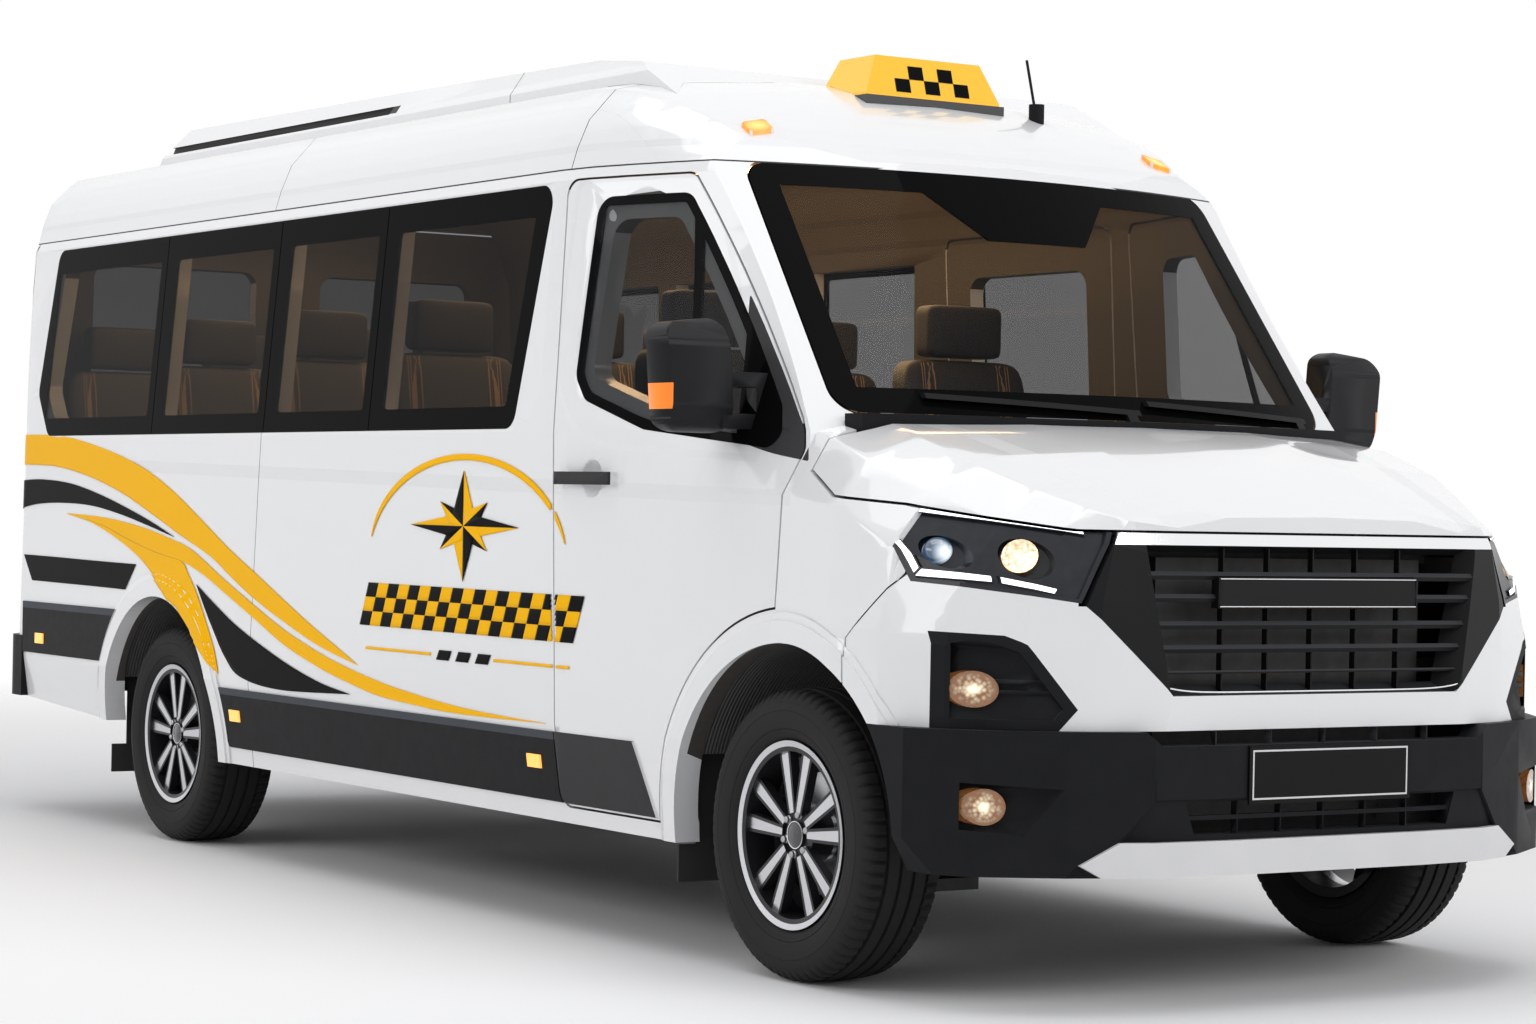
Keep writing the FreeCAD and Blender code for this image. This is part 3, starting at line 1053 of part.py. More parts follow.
# Wheels. Each is revolved about its own axis, outward along Z, then set in its place.
d.put(tyre_half_width=117, rim_seat_radius=215, rim_flange_radius=229, rim_wall=12, rim_seat_half=80,
      rim_lip_inner=94, rim_half_width=104, hub_radius=66, hub_depth=70, spoke_pair_angle=28, spoke_root=15,
      spoke_tip=23, spoke_thickness=24, face_offset=64, disc_radius=150, disc_thickness=26, disc_inner=18,
      wheel_out=872, kingpin_out=775, cap_radius=33, cap_stand=6)
TYRE_SHARES = ((0.0, 0.675), (0.45, 1.0), (1.0, 0.78))
SPOKE_PAIRS = 5


def placed_wheel(shape, side, centre):
    shape = shape.copy()
    shape.rotate(Vector(0, 0, 0), Vector(1, 0, 0), -90 * side)
    shape.translate(Vector(centre.x, side * d.wheel_out, centre.z))
    return shape


def revolved(points):
    """A ring whose half section is the row of (radius, offset) points."""
    wire = Part.makePolygon([Vector(r, 0, w) for r, w in points + points[:1]])
    return Part.Face(wire).revolve(Vector(0, 0, 0), Vector(0, 0, 1), 360)


bead_radius = d.rim_seat_radius + d.fit_gap
tyre_depth = d.tyre_radius - bead_radius
tyre_edge = [(bead_radius + tyre_depth * up, d.tyre_half_width * out) for up, out in TYRE_SHARES]
tyre = revolved(tyre_edge + [(r, -w) for r, w in reversed(tyre_edge)])
rim_inner = d.rim_seat_radius - d.rim_wall
barrel_ring = revolved([(d.rim_seat_radius, d.rim_seat_half), (d.rim_flange_radius, d.rim_lip_inner),
                        (d.rim_flange_radius, d.rim_half_width), (rim_inner, d.rim_half_width - d.rim_wall / 2),
                        (rim_inner, -d.rim_half_width + d.rim_wall / 2), (d.rim_flange_radius, -d.rim_half_width),
                        (d.rim_flange_radius, -d.rim_lip_inner), (d.rim_seat_radius, -d.rim_seat_half)])
hub = Part.makeCylinder(d.hub_radius, d.hub_depth, Vector(0, 0, d.disc_thickness - d.disc_inner))
cap = Part.makeCylinder(d.cap_radius, d.hub_depth + d.cap_stand, Vector(0, 0, d.disc_thickness - d.disc_inner))
disc = Part.makeCylinder(d.disc_radius, d.disc_thickness, Vector(0, 0, -d.disc_inner))
spoke_end = d.rim_seat_radius - d.rim_wall / 3
spoke_start = d.hub_radius - d.rim_wall
spokes = []
for pair in range(SPOKE_PAIRS):
    for turn in (-1, 1):
        outline = [Vector(spoke_start, -d.spoke_root, 0), Vector(spoke_end, -d.spoke_tip, 0),
                   Vector(spoke_end, d.spoke_tip, 0), Vector(spoke_start, d.spoke_root, 0)]
        spoke = Part.Face(Part.makePolygon(outline + outline[:1])).extrude(Vector(0, 0, d.spoke_thickness))
        spoke.translate(Vector(0, 0, d.face_offset))
        spoke.rotate(Vector(0, 0, 0), Vector(0, 0, 1), 90 + pair * 360 / SPOKE_PAIRS + turn * d.spoke_pair_angle / 2)
        spokes.append(spoke)
rim = barrel_ring.fuse([hub, cap, disc] + spokes).removeSplitter()
CORNERS = (("front_right", RIGHT, front_axle), ("front_left", LEFT, front_axle),
           ("rear_right", RIGHT, rear_axle_centre), ("rear_left", LEFT, rear_axle_centre))
for word, side, centre in CORNERS:
    keep("tyre_" + word, placed_wheel(tyre, side, centre))
    keep("rim_" + word, placed_wheel(rim, side, centre))

# Knuckles: a carrier behind the brake disc, an upright on the kingpin line and a caliper.
d.put(carrier_radius=62, carrier_depth=60, upright_half=30, upright_outer=40, upright_foot=236,
      upright_head=486, caliper_rear=175, caliper_front=95, caliper_depth=45, caliper_gap=3,
      caliper_half_height=60, arm_half_height=30)
disc_face = d.wheel_out - d.disc_inner - d.fit_gap


def axle_block(x, y, z, side):
    """A block by the front axle, X and Z counted from its centre line."""
    return block((front_axle.x + x[0], front_axle.x + x[1]), (side * y[0], side * y[1]), z)


for side, word in SIDES:
    carrier = rod(Vector(front_axle.x, side * (disc_face - d.carrier_depth), front_axle.z),
                  Vector(front_axle.x, side * disc_face, front_axle.z), d.carrier_radius)
    upright = axle_block((-d.upright_half, d.upright_half),
                         (d.kingpin_out - d.upright_half, d.kingpin_out + d.upright_outer),
                         (d.upright_foot, d.upright_head), side)
    caliper = axle_block((-d.caliper_rear, -d.caliper_front),
                         (disc_face - d.caliper_depth, disc_face - d.caliper_gap),
                         (front_axle.z - d.caliper_half_height, front_axle.z + d.caliper_half_height), side)
    bracket = axle_block((-d.caliper_front - d.caliper_gap, 0),
                         (disc_face - d.caliper_depth, disc_face - d.caliper_depth / 2),
                         (front_axle.z - d.arm_half_height, front_axle.z + d.arm_half_height), side)
    keep("knuckle_" + word, carrier.fuse([upright, caliper, bracket]).removeSplitter())

# Front suspension: a cross beam with lower and upper arms to the kingpins.
d.put(beam_half=60, beam_out=465, beam_foot=250, beam_head=330, arm_half=40, arm_out=795, arm_thickness=30.7,
      hanger_half=50, hanger_inner=395, strut_inner=472, strut_outer=520)
lower_arm_foot = d.upright_foot - d.fit_gap - d.arm_thickness
arms = [block((front_axle.x - d.beam_half, front_axle.x + d.beam_half), (-d.beam_out, d.beam_out),
              (d.beam_foot, d.beam_head))]
for side, word in SIDES:
    arms.append(axle_block((-d.arm_half, d.arm_half), (d.rail_out, d.arm_out),
                           (lower_arm_foot, d.upright_foot - d.fit_gap), side))
    arms.append(axle_block((-d.arm_half, d.arm_half), (d.rail_out, d.beam_out), (lower_arm_foot, d.beam_head), side))
    arms.append(axle_block((-d.hanger_half, d.hanger_half), (d.hanger_inner, d.beam_out),
                           (d.beam_foot, d.rail_foot), side))
    arms.append(axle_block((-d.arm_half, d.arm_half), (d.rail_out, d.strut_outer), (d.beam_foot, d.beam_head), side))
    arms.append(axle_block((-d.arm_half, d.arm_half), (d.strut_inner, d.strut_outer),
                           (d.beam_foot, rail_head - d.fit_gap), side))
    arms.append(axle_block((-d.arm_half, d.arm_half), (d.strut_inner, d.arm_out),
                           (d.upright_head + d.fit_gap, rail_head - d.fit_gap), side))
keep("front_suspension", arms[0].fuse(arms[1:]).removeSplitter())

# Rear axle: a tube with its differential, on two leaf springs hung beside the rails.
d.put(axle_radius=43.5, diff_radius=140, diff_rear=120, diff_front=140, spring_half_length=650,
      spring_inner=515, spring_outer=585, spring_foot=404, spring_head=436, saddle_half=60, saddle_foot=330,
      shackle_inner=471, shackle_half=30, shackle_head=500)
axle_x = rear_axle_centre.x
tube = rod(Vector(axle_x, -disc_face, rear_axle_centre.z), Vector(axle_x, disc_face, rear_axle_centre.z),
           d.axle_radius)
diff = Part.makeSphere(d.diff_radius, rear_axle_centre).common(
    block((axle_x - d.diff_rear, axle_x + d.diff_front), (-d.diff_radius, d.diff_radius), (0, crown)))
springs = [diff]
for side, word in SIDES:
    across = (side * d.spring_inner, side * d.spring_outer)
    springs.append(block((axle_x - d.spring_half_length, axle_x + d.spring_half_length), across,
                         (d.spring_foot, d.spring_head)))
    springs.append(block((axle_x - d.saddle_half, axle_x + d.saddle_half), across, (d.saddle_foot, d.spring_head)))
    for end in (-1, 1):
        middle = axle_x + end * (d.spring_half_length - d.shackle_half)
        springs.append(block((middle - d.shackle_half, middle + d.shackle_half),
                             (side * d.shackle_inner, side * d.spring_outer), (d.spring_foot, d.shackle_head)))
keep("rear_axle", tube.fuse(springs).removeSplitter())

# Rear bumper: a dark moulding across the tail that wraps round both corners, notched over
# the tow eye.
d.put(rear_bumper_foot=415, rear_bumper_head=632, rear_bumper_stand=30, rear_bumper_wrap=4900,
      rear_bumper_wall=42, rear_bumper_half=1044, eye_notch=70, eye_notch_head=462)
tail_line = ahead(-d.rear_end)


def rear_bumper_plan(step):
    out = d.rear_bumper_half - step
    return rounded_wire([(tail_line - d.rear_bumper_stand + step, -out), (nose_reach, -out), (nose_reach, out),
                         (tail_line - d.rear_bumper_stand + step, out)], d.tail_round - step,
                        lambda p: Vector(p.x, p.y, d.rear_bumper_foot))


bumper_rise = Vector(0, 0, d.rear_bumper_head - d.rear_bumper_foot)
rear_bumper = Part.Face(rear_bumper_plan(0)).extrude(bumper_rise)
rear_bumper = rear_bumper.cut(Part.Face(rear_bumper_plan(d.rear_bumper_wall)).extrude(bumper_rise))
rear_bumper = rear_bumper.cut(block((ahead(-d.rear_bumper_wrap), nose_reach + half), (-2 * half, 2 * half), (0, crown)))
body_clear = cabin_solid(-d.fit_gap).common(tail_side(-d.fit_gap)).common(tail_corners(-d.fit_gap))
body_clear = body_clear.cut(side_slab([(x, z - d.fit_gap) for x, z in quarter_cut], -half, half))
body_clear = body_clear.cut(block(tail_x, (-inner_sill, inner_sill), (0, d.tail_foot - d.fit_gap)))
rear_bumper = rear_bumper.cut(body_clear)
rear_bumper = rear_bumper.cut(block((tail_line - 2 * d.overrun, tail_line + 2 * d.overrun),
                                    (-d.eye_notch, d.eye_notch), (0, d.eye_notch_head)))
keep("rear_bumper", largest(rear_bumper))

# Mud flaps hang from the floor behind the wheels, wider below the sills.
d.put(flap_thickness=6, flap_foot=192, flap_inner=790, flap_outer=985, flap_waist=932, flap_waist_height=288,
      front_flap=488, rear_flap=4188)
flap_outline = [(-d.flap_inner, d.flap_foot), (-d.flap_outer, d.flap_foot), (-d.flap_outer, d.flap_waist_height),
                (-d.flap_waist, d.flap_waist_height), (-d.flap_waist, rail_head - d.fit_gap),
                (-d.flap_inner, rail_head - d.fit_gap)]
flaps = [front_slab(flap_outline, ahead(-station), ahead(-station) - d.flap_thickness)
         for station in (d.front_flap, d.rear_flap)]
keep("mud_flaps", with_mirrored(Part.makeCompound(flaps)))

# Roof pod: a long flat unit along the roof with a raked nose and a slot along each side.
d.put(pod_rear=4455, pod_front=930, pod_half_width=760, roof_pod_head=2428, pod_side_lean=70, pod_base=2250,
      pod_lip=2330, slot_rear=4380, slot_front=2645, slot_low=2340, slot_rise=26, slot_depth=16)
ROOF_POD_SHARES = ((0.0, 0.0), (0.047, 1.0), (0.498, 0.91), (0.861, 0.798), (0.938, 0.629), (1.0, 0.0))
pod_length = d.pod_rear - d.pod_front
pod_side = [(ahead(-d.pod_rear) + pod_length * along, d.pod_base + (d.roof_pod_head - d.pod_base) * up)
            for along, up in ROOF_POD_SHARES]
pod_shoulder = d.pod_half_width - d.pod_side_lean
pod_section = both_sides([(pod_shoulder, d.roof_pod_head + d.seam), (d.pod_half_width, d.pod_lip),
                          (d.pod_half_width, d.gutter_height)])
roof_pod = side_slab(pod_side, -half, half).common(front_slab(pod_section, *ends)).cut(cabin_solid(-d.fit_gap))
slot_inner = d.pod_half_width - d.slot_depth - d.pod_side_lean / 4
slots = with_mirrored(block((ahead(-d.slot_rear), ahead(-d.slot_front)), (-half, -slot_inner),
                            (d.slot_low, d.slot_low + d.slot_rise)))
keep("roof_pod", largest(roof_pod.cut(slots)))

# Roof sign: a wedge box on a dark base.
d.put(sign_rear=1060, sign_front=800, sign_half_width=235, sign_foot=2262, sign_head=2400, sign_lean=45,
      sign_base=22, sign_step=8, sign_slope=60)
sign_base_head = d.sign_foot + d.sign_base
sign_base = block((ahead(-d.sign_rear), ahead(-d.sign_front)), (-d.sign_half_width, d.sign_half_width),
                  (d.gutter_height, sign_base_head))
sign_top = side_slab([(ahead(-d.sign_rear) + d.sign_step, sign_base_head - d.sign_step),
                      (ahead(-d.sign_front) - d.sign_step, sign_base_head - d.sign_step),
                      (ahead(-d.sign_front) - d.sign_lean, d.sign_head),
                      (ahead(-d.sign_rear) + d.sign_lean, d.sign_head)], -half, half)
sign_section = both_sides([(d.sign_half_width - d.sign_slope, d.sign_head + d.sign_step),
                           (d.sign_half_width - d.sign_step, sign_base_head + d.sign_step),
                           (d.sign_half_width - d.sign_step, d.gutter_height)])
roof_sign = sign_base.fuse(sign_top.common(front_slab(sign_section, *ends))).cut(cabin_solid(-d.fit_gap))
keep("roof_sign", largest(roof_sign.removeSplitter()))

# Antenna, and the marker lamps on the brow and along the flanks.
d.put(antenna_station=800, antenna_out=350, antenna_foot=2200, antenna_collar=2300, antenna_base_radius=22,
      antenna_sweep=50, antenna_head=2430, antenna_radius=4, brow_lamp_station=664, brow_lamp_out=677,
      brow_lamp_half=36, brow_lamp_length=46, marker_stand=6, marker_half_length=35, marker_half_height=18,
      rear_marker=4727, rear_marker_height=628, mid_marker=3089, front_marker=1160, low_marker_height=453)
antenna_x = ahead(-d.antenna_station)
antenna_foot = Vector(antenna_x, d.antenna_out, d.antenna_foot)
antenna_collar = Vector(antenna_x, d.antenna_out, d.antenna_collar)
antenna_top = Vector(antenna_x - d.antenna_sweep, d.antenna_out, d.antenna_head)
antenna = rod(antenna_foot, antenna_collar, d.antenna_base_radius)
antenna = antenna.fuse(rod(antenna_collar - Vector(0, 0, d.overrun), antenna_top, d.antenna_radius))
keep("antenna", largest(antenna.cut(cabin_solid(-d.fit_gap))))
brow_lamp = block((ahead(-d.brow_lamp_station) - d.brow_lamp_length / 2,
                   ahead(-d.brow_lamp_station) + d.brow_lamp_length / 2),
                  (-d.brow_lamp_out - d.brow_lamp_half, -d.brow_lamp_out + d.brow_lamp_half),
                  (d.gutter_height, crown)).common(cabin_layer(-d.marker_stand * 2, -d.fit_gap))
markers = with_mirrored(brow_lamp).Solids
lifted_skin = cabin_layer(-d.clad_stand - d.marker_stand, -d.clad_stand - d.fit_gap)
for station, height in ((d.mid_marker, d.low_marker_height), (d.front_marker, d.low_marker_height),
                        (d.rear_marker, d.rear_marker_height)):
    markers += lifted_skin.common(block((ahead(-station - d.marker_half_length), ahead(-station + d.marker_half_length)),
                                        (-half, half), (height - d.marker_half_height,
                                                        height + d.marker_half_height))).Solids
keep("marker_lamps", Part.makeCompound(markers))

# Mirrors: a tall rounded housing on two arms from a bracket at the front door's corner.
d.put(mirror_rear=375, mirror_front=265, mirror_inner=985, mirror_outer=1185, mirror_foot=1330,
      mirror_head=1620, mirror_round=42, mirror_lean=22, arm_rear=318, arm_front=272, arm_root=800, low_arm=1342,
      high_arm=1446, arm_rise=38, arm_reach=30, bracket_outer=918, glass_recess=6, mirror_border=14)
for side, word in SIDES:
    face = [(side * d.mirror_inner, d.mirror_foot), (side * (d.mirror_outer - d.mirror_lean), d.mirror_foot),
            (side * d.mirror_outer, d.mirror_head - d.mirror_lean),
            (side * (d.mirror_inner + d.mirror_lean), d.mirror_head)]
    housing = front_slab(face, ahead(-d.mirror_rear), ahead(-d.mirror_front), d.mirror_round)
    profile = stations([(d.mirror_rear, d.mirror_foot), (d.mirror_rear, d.mirror_head),
                        (d.mirror_front + d.mirror_lean * 2, d.mirror_head),
                        (d.mirror_front, d.mirror_head - d.mirror_lean * 3),
                        (d.mirror_front, d.mirror_foot + d.mirror_lean * 3),
                        (d.mirror_front + d.mirror_lean, d.mirror_foot)])
    housing = housing.common(side_slab(profile, -2 * half, 2 * half, d.mirror_round))
    housing = housing.cut(front_slab(grown(face, -d.mirror_border), ahead(-d.mirror_rear) - d.overrun,
                                     ahead(-d.mirror_rear) + d.glass_recess, d.mirror_round))
    arm_x = (ahead(-d.arm_rear), ahead(-d.arm_front))
    arms = [block(arm_x, (side * d.arm_root, side * (d.mirror_inner + d.arm_reach)), (height, height + d.arm_rise))
            for height in (d.low_arm, d.high_arm)]
    bracket = block(arm_x, (side * d.arm_root, side * d.bracket_outer), (d.low_arm, d.high_arm + d.arm_rise))
    mirror = housing.fuse(arms + [bracket]).cut(cabin_solid(-d.fit_gap)).removeSplitter()
    keep("mirror_" + word, largest(mirror))

# Dashboard with the steering column's shroud, and the steering wheel on its shaft.
d.put(dash_foot=700, dash_head=1352, dash_brow=260, dash_face=430, dash_face_head=1240, dash_knee=300,
      dash_knee_height=900, dash_side_gap=18, wheel_tilt=28, steer_radius=200, steer_grip=15, steer_out=440,
      steer_back=560, steer_height=1180, boss_radius=55, boss_depth=40, spoke_radius=12, shaft_radius=18,
      shroud_start=92, shroud_end=240, shroud_radius=44)
GRIP_CORNERS = 8
dash_rear = d.floor_front + d.floor_thickness + d.fit_gap
dash_lip = d.bulkhead_head + d.fit_gap
dash_outline = stations([(dash_rear, d.dash_foot), (dash_rear, dash_lip), (-d.screen_foot, dash_lip),
                         (-d.screen_foot, d.dash_head), (d.dash_brow, d.dash_head),
                         (d.dash_face - d.seam, d.dash_face_head), (d.dash_face, d.dash_face_head - d.wall * 3),
                         (d.dash_knee, d.dash_knee_height), (d.dash_knee - d.seam, d.dash_foot)])
dash = side_slab(dash_outline, -half, half).common(cabin_solid(d.wall + d.dash_side_gap))
dash = dash.common(screen_side(d.pillar_depth + d.dash_side_gap))
for side, word in SIDES:
    dash = dash.cut(wheel_drum(front_axle, side, d.front_box_inner - d.wheel_box_wall - d.fit_gap,
                               d.wheel_box_radius + d.wheel_box_wall + d.fit_gap))
    plate_cut = block((ahead(-d.door_front - d.hinge_shift - d.hinge_back - d.hinge_length - d.seam), nose_reach),
                      (side * (d.body_half_width - d.wall - d.hinge_depth - d.belt_taper), side * half),
                      (d.hinge_low - d.seam, d.hinge_high + d.hinge_height + d.seam))
    dash = dash.cut(plate_cut)
steer_centre = Vector(ahead(-d.steer_back), -d.steer_out, d.steer_height)
tilt = math.radians(d.wheel_tilt)
steer_axis = Vector(-math.cos(tilt), 0, math.sin(tilt))
shroud = rod(steer_centre - steer_axis * d.shroud_end, steer_centre - steer_axis * d.shroud_start, d.shroud_radius)
keep("dashboard", largest(dash.fuse(shroud).removeSplitter()))
grip = []
for corner in range(GRIP_CORNERS):
    turn = 2 * math.pi * corner / GRIP_CORNERS
    grip.append((d.steer_radius + d.steer_grip * math.cos(turn), d.steer_grip * math.sin(turn)))
ring = revolved(grip)
ring.rotate(Vector(0, 0, 0), Vector(0, 1, 0), d.wheel_tilt - 90)
ring.translate(steer_centre)
wheel_parts = [rod(steer_centre - steer_axis * d.boss_depth, steer_centre + steer_axis * d.spoke_radius, d.boss_radius)]
across = Vector(0, 1, 0)
down = steer_axis.cross(across)
down = down if down.z < 0 else down * -1
for direction in (across, across * -1, down):
    start = steer_centre - steer_axis * d.spoke_radius
    wheel_parts.append(rod(start, start + direction * d.steer_radius, d.spoke_radius))
wheel_parts.append(rod(steer_centre - steer_axis * d.boss_depth,
                       steer_centre - steer_axis * (d.shroud_start - d.fit_gap), d.shaft_radius))
keep("steering_wheel", ring.fuse(wheel_parts).removeSplitter())

# Seats. Each has a hollow base, a seat cushion, a backrest and a headrest. Bases over the
# wheel boxes stand on them.
d.put(seat_width=442, seat_depth=430, seat_height=430, cushion_thickness=110, back_height=600,
      back_thickness=90, back_lean=100, back_drop=40, headrest_height=170, headrest_width=270,
      headrest_depth=80, base_margin=40, base_wall=28, front_row=700, front_row_out=440, second_row=1750,
      row_pitch=850, last_row=4290, window_seat=700, aisle_seat=235, lone_seat=650)
seat_spots = [(d.front_row, -d.front_row_out), (d.front_row, d.front_row_out)]
for row in range(3):
    station = d.second_row + row * d.row_pitch
    seat_spots += [(station, -d.window_seat), (station, -d.aisle_seat), (station, d.lone_seat)]
seat_spots += [(d.last_row, -d.window_seat), (d.last_row, -d.aisle_seat),
               (d.last_row, d.aisle_seat), (d.last_row, d.window_seat)]
cushions = []
seat_bases = []
seat_top = d.floor_top + d.seat_height
base_top = seat_top - d.cushion_thickness - d.fit_gap
for station, out in seat_spots:
    front = ahead(-station)
    rear = front - d.seat_depth
    low, high = out - d.seat_width / 2, out + d.seat_width / 2
    cushions.append(block((rear, front), (low, high), (seat_top - d.cushion_thickness, seat_top)))
    back_x = rear - d.fit_gap
    back_foot = seat_top - d.back_drop
    back_head = seat_top + d.back_height
    cushions.append(side_slab([(back_x, back_foot), (back_x - d.back_lean, back_head),
                               (back_x - d.back_lean - d.back_thickness, back_head),
                               (back_x - d.back_thickness, back_foot)], low, high))
    rest_x = back_x - d.back_lean
    cushions.append(block((rest_x - d.headrest_depth, rest_x),
                          (out - d.headrest_width / 2, out + d.headrest_width / 2),
                          (back_head + d.fit_gap, back_head + d.headrest_height)))
    base = block((rear + d.base_margin, front - d.base_margin), (low + d.base_margin, high - d.base_margin),
                 (d.floor_top, base_top))
    base = base.cut(block((rear, front), (low + d.base_margin + d.base_wall, high - d.base_margin - d.base_wall),
                          (0, base_top - d.base_wall)))
    for side, word in SIDES:
        base = base.cut(wheel_drum(rear_axle_centre, side, d.rear_box_inner - d.wheel_box_wall - d.fit_gap,
                                   d.wheel_box_radius + d.wheel_box_wall + d.fit_gap))
    seat_bases.append(largest(base))
keep("seat_cushions", Part.makeCompound(cushions))
keep("seat_bases", Part.makeCompound(seat_bases))

# Ceiling light strips
d.put(strip_rear=4800, strip_front=1350, strip_out=560, strip_half=12, strip_depth=14)
strip = block((ahead(-d.strip_rear), ahead(-d.strip_front)),
              (-d.strip_out - d.strip_half, -d.strip_out + d.strip_half), (d.gutter_height, crown))
strip = strip.common(cabin_solid(d.wall + d.fit_gap)).cut(cabin_solid(d.wall + d.strip_depth))
keep("ceiling_lights", with_mirrored(strip))

# Wipers: two blades along the foot of the glass on arms that rise from the cowl.
d.put(wiper_thickness=16, blade_rise=14, blade_inner=20, blade_outer=640, blade_foot=1402, blade_lift=26,
      wiper_shift=70, pivot_half=16)


def screen_strip(corners):
    """A thin strip on the windscreen's outer face whose front view is the outline."""
    span = (ahead(-d.taper_length / 2), ahead(d.taper_length / 2))
    strip = front_slab(corners, *span).common(screen_side(-d.wiper_thickness))
    return strip.cut(screen_side(-d.fit_gap))


wipers = []
for start in (-d.blade_outer + d.wiper_shift, d.blade_inner + d.wiper_shift):
    end = start + d.blade_outer - d.blade_inner
    low_end, high_end = d.blade_foot, d.blade_foot + d.blade_lift
    blade = screen_strip([(start, high_end), (end, low_end), (end, low_end + d.blade_rise),
                          (start, high_end + d.blade_rise)])
    pivot = end - d.pivot_half * 2
    foot = d.cowl_head + d.fit_gap
    arm = screen_strip([(pivot - d.pivot_half, foot), (pivot + d.pivot_half, foot),
                        (pivot + d.pivot_half, low_end + d.blade_rise),
                        (pivot - d.pivot_half, low_end + d.blade_rise)])
    wipers.append(blade.fuse(arm).removeSplitter())
keep("wipers", Part.makeCompound([largest(wiper) for wiper in wipers]))

doc.recompute()
for piece in doc.Objects:
    if "Invalid" in piece.State or "Error" in piece.State:
        raise RuntimeError(piece.Label + " is in state " + str(piece.State))
for piece in kept:
    if piece.Shape.isNull() or not piece.Shape.isValid():
        raise RuntimeError(piece.Label + " has no valid shape")
os.makedirs("parts", exist_ok=True)
for piece in kept:
    piece.Shape.exportStep("parts/%s.step" % piece.Label)
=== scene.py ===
import json
import math

import bmesh
import bpy
from mathutils import Matrix, Vector
from mathutils.bvhtree import BVHTree


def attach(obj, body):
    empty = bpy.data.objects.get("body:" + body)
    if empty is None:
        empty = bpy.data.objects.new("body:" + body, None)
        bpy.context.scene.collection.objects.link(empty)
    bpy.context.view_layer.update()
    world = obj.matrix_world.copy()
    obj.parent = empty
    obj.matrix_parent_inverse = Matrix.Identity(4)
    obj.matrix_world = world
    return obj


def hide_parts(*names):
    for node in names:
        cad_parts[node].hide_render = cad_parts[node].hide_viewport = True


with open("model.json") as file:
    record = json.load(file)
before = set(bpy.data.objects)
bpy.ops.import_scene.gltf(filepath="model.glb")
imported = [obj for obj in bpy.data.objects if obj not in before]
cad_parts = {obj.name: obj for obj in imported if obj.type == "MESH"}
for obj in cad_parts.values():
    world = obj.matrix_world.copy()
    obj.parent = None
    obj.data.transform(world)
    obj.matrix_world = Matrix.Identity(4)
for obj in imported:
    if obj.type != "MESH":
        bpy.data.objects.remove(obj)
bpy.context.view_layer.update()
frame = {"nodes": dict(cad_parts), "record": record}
nodes = frame["nodes"]
axle = 2.13   # metres from the origin to the front axle, from which stations are counted

# Camera, floor and light. A long lens looks at the front right corner from a little above
# the hub caps; soft boxes stand over, before and beside the vehicle on a pale floor that
# fades into a white backdrop.
view_place = (9.037, -5.587, 1.1536)
yaw, pitch, roll = math.radians(33.27), math.radians(-0.114), math.radians(1.151)
view = bpy.data.cameras.new("view")
view.lens = 80.43
view.sensor_width = 36
view_point = bpy.data.objects.new("view", view)
bpy.context.scene.collection.objects.link(view_point)
forward = Vector((-math.cos(yaw) * math.cos(pitch), math.sin(yaw) * math.cos(pitch), math.sin(pitch)))
level = forward.cross(Vector((0, 0, 1))).normalized()
upright = level.cross(forward)
view_point.matrix_world = Matrix.Translation(view_place) @ Matrix((
    level * math.cos(roll) + upright * math.sin(roll),
    upright * math.cos(roll) - level * math.sin(roll), -forward)).transposed().to_4x4()
bpy.context.scene.camera = view_point
bpy.context.scene.view_settings.view_transform = "Standard"


class Value:
    """A socket among nodes, for use in plain arithmetic. Of masks, | is either and * is both."""

    def __init__(self, owner, socket):
        self.owner = owner
        self.socket = socket

    def sum(self, operation, *values):
        return self.owner.node("ShaderNodeMath", {"operation": operation}, values)

    def __add__(self, other):
        return self.sum("ADD", self, other)

    def __sub__(self, other):
        return self.sum("SUBTRACT", self, other)

    def __rsub__(self, other):
        return self.sum("SUBTRACT", other, self)

    def __mul__(self, other):
        return self.sum("MULTIPLY", self, other)

    def __truediv__(self, other):
        return self.sum("DIVIDE", self, other)

    def __gt__(self, other):
        return self.sum("GREATER_THAN", self, other)

    def __lt__(self, other):
        return self.sum("LESS_THAN", self, other)

    def __or__(self, other):
        return self.sum("MAXIMUM", self, other)

    def __and__(self, other):
        return self.sum("MINIMUM", self, other)

    def __abs__(self):
        return self.sum("ABSOLUTE", self)

    def near(self, middle, reach):
        """1 within a reach of a level, otherwise 0."""
        return abs(self - middle) < reach

    def within(self, low, high):
        return (self > low) * (self < high)

    def rising(self, low, high):
        """0 below one level and 1 above the other, with an even slope between."""
        return self.owner.node("ShaderNodeClamp", {}, [(self - low) / (high - low)])

    __radd__ = __add__
    __rmul__ = __mul__


class Nodes:
    """The nodes of a material or a world."""

    def __init__(self, owner):
        owner.use_nodes = True
        self.tree = owner.node_tree
        self.tree.nodes.clear()

    def node(self, kind, settings, inputs, output=0):
        made_node = self.tree.nodes.new(kind)
        for key, value in settings.items():
            if key == "stops":
                for stop, (spot, colour) in zip(made_node.color_ramp.elements, value):
                    stop.position, stop.color = spot, (*colour, 1)
            else:
                setattr(made_node, key, value)
        for key, value in inputs.items() if isinstance(inputs, dict) else enumerate(inputs):
            if isinstance(value, Value):
                self.tree.links.new(value.socket, made_node.inputs[key])
            else:
                made_node.inputs[key].default_value = value
        return Value(self, made_node.outputs[output]) if made_node.outputs else None


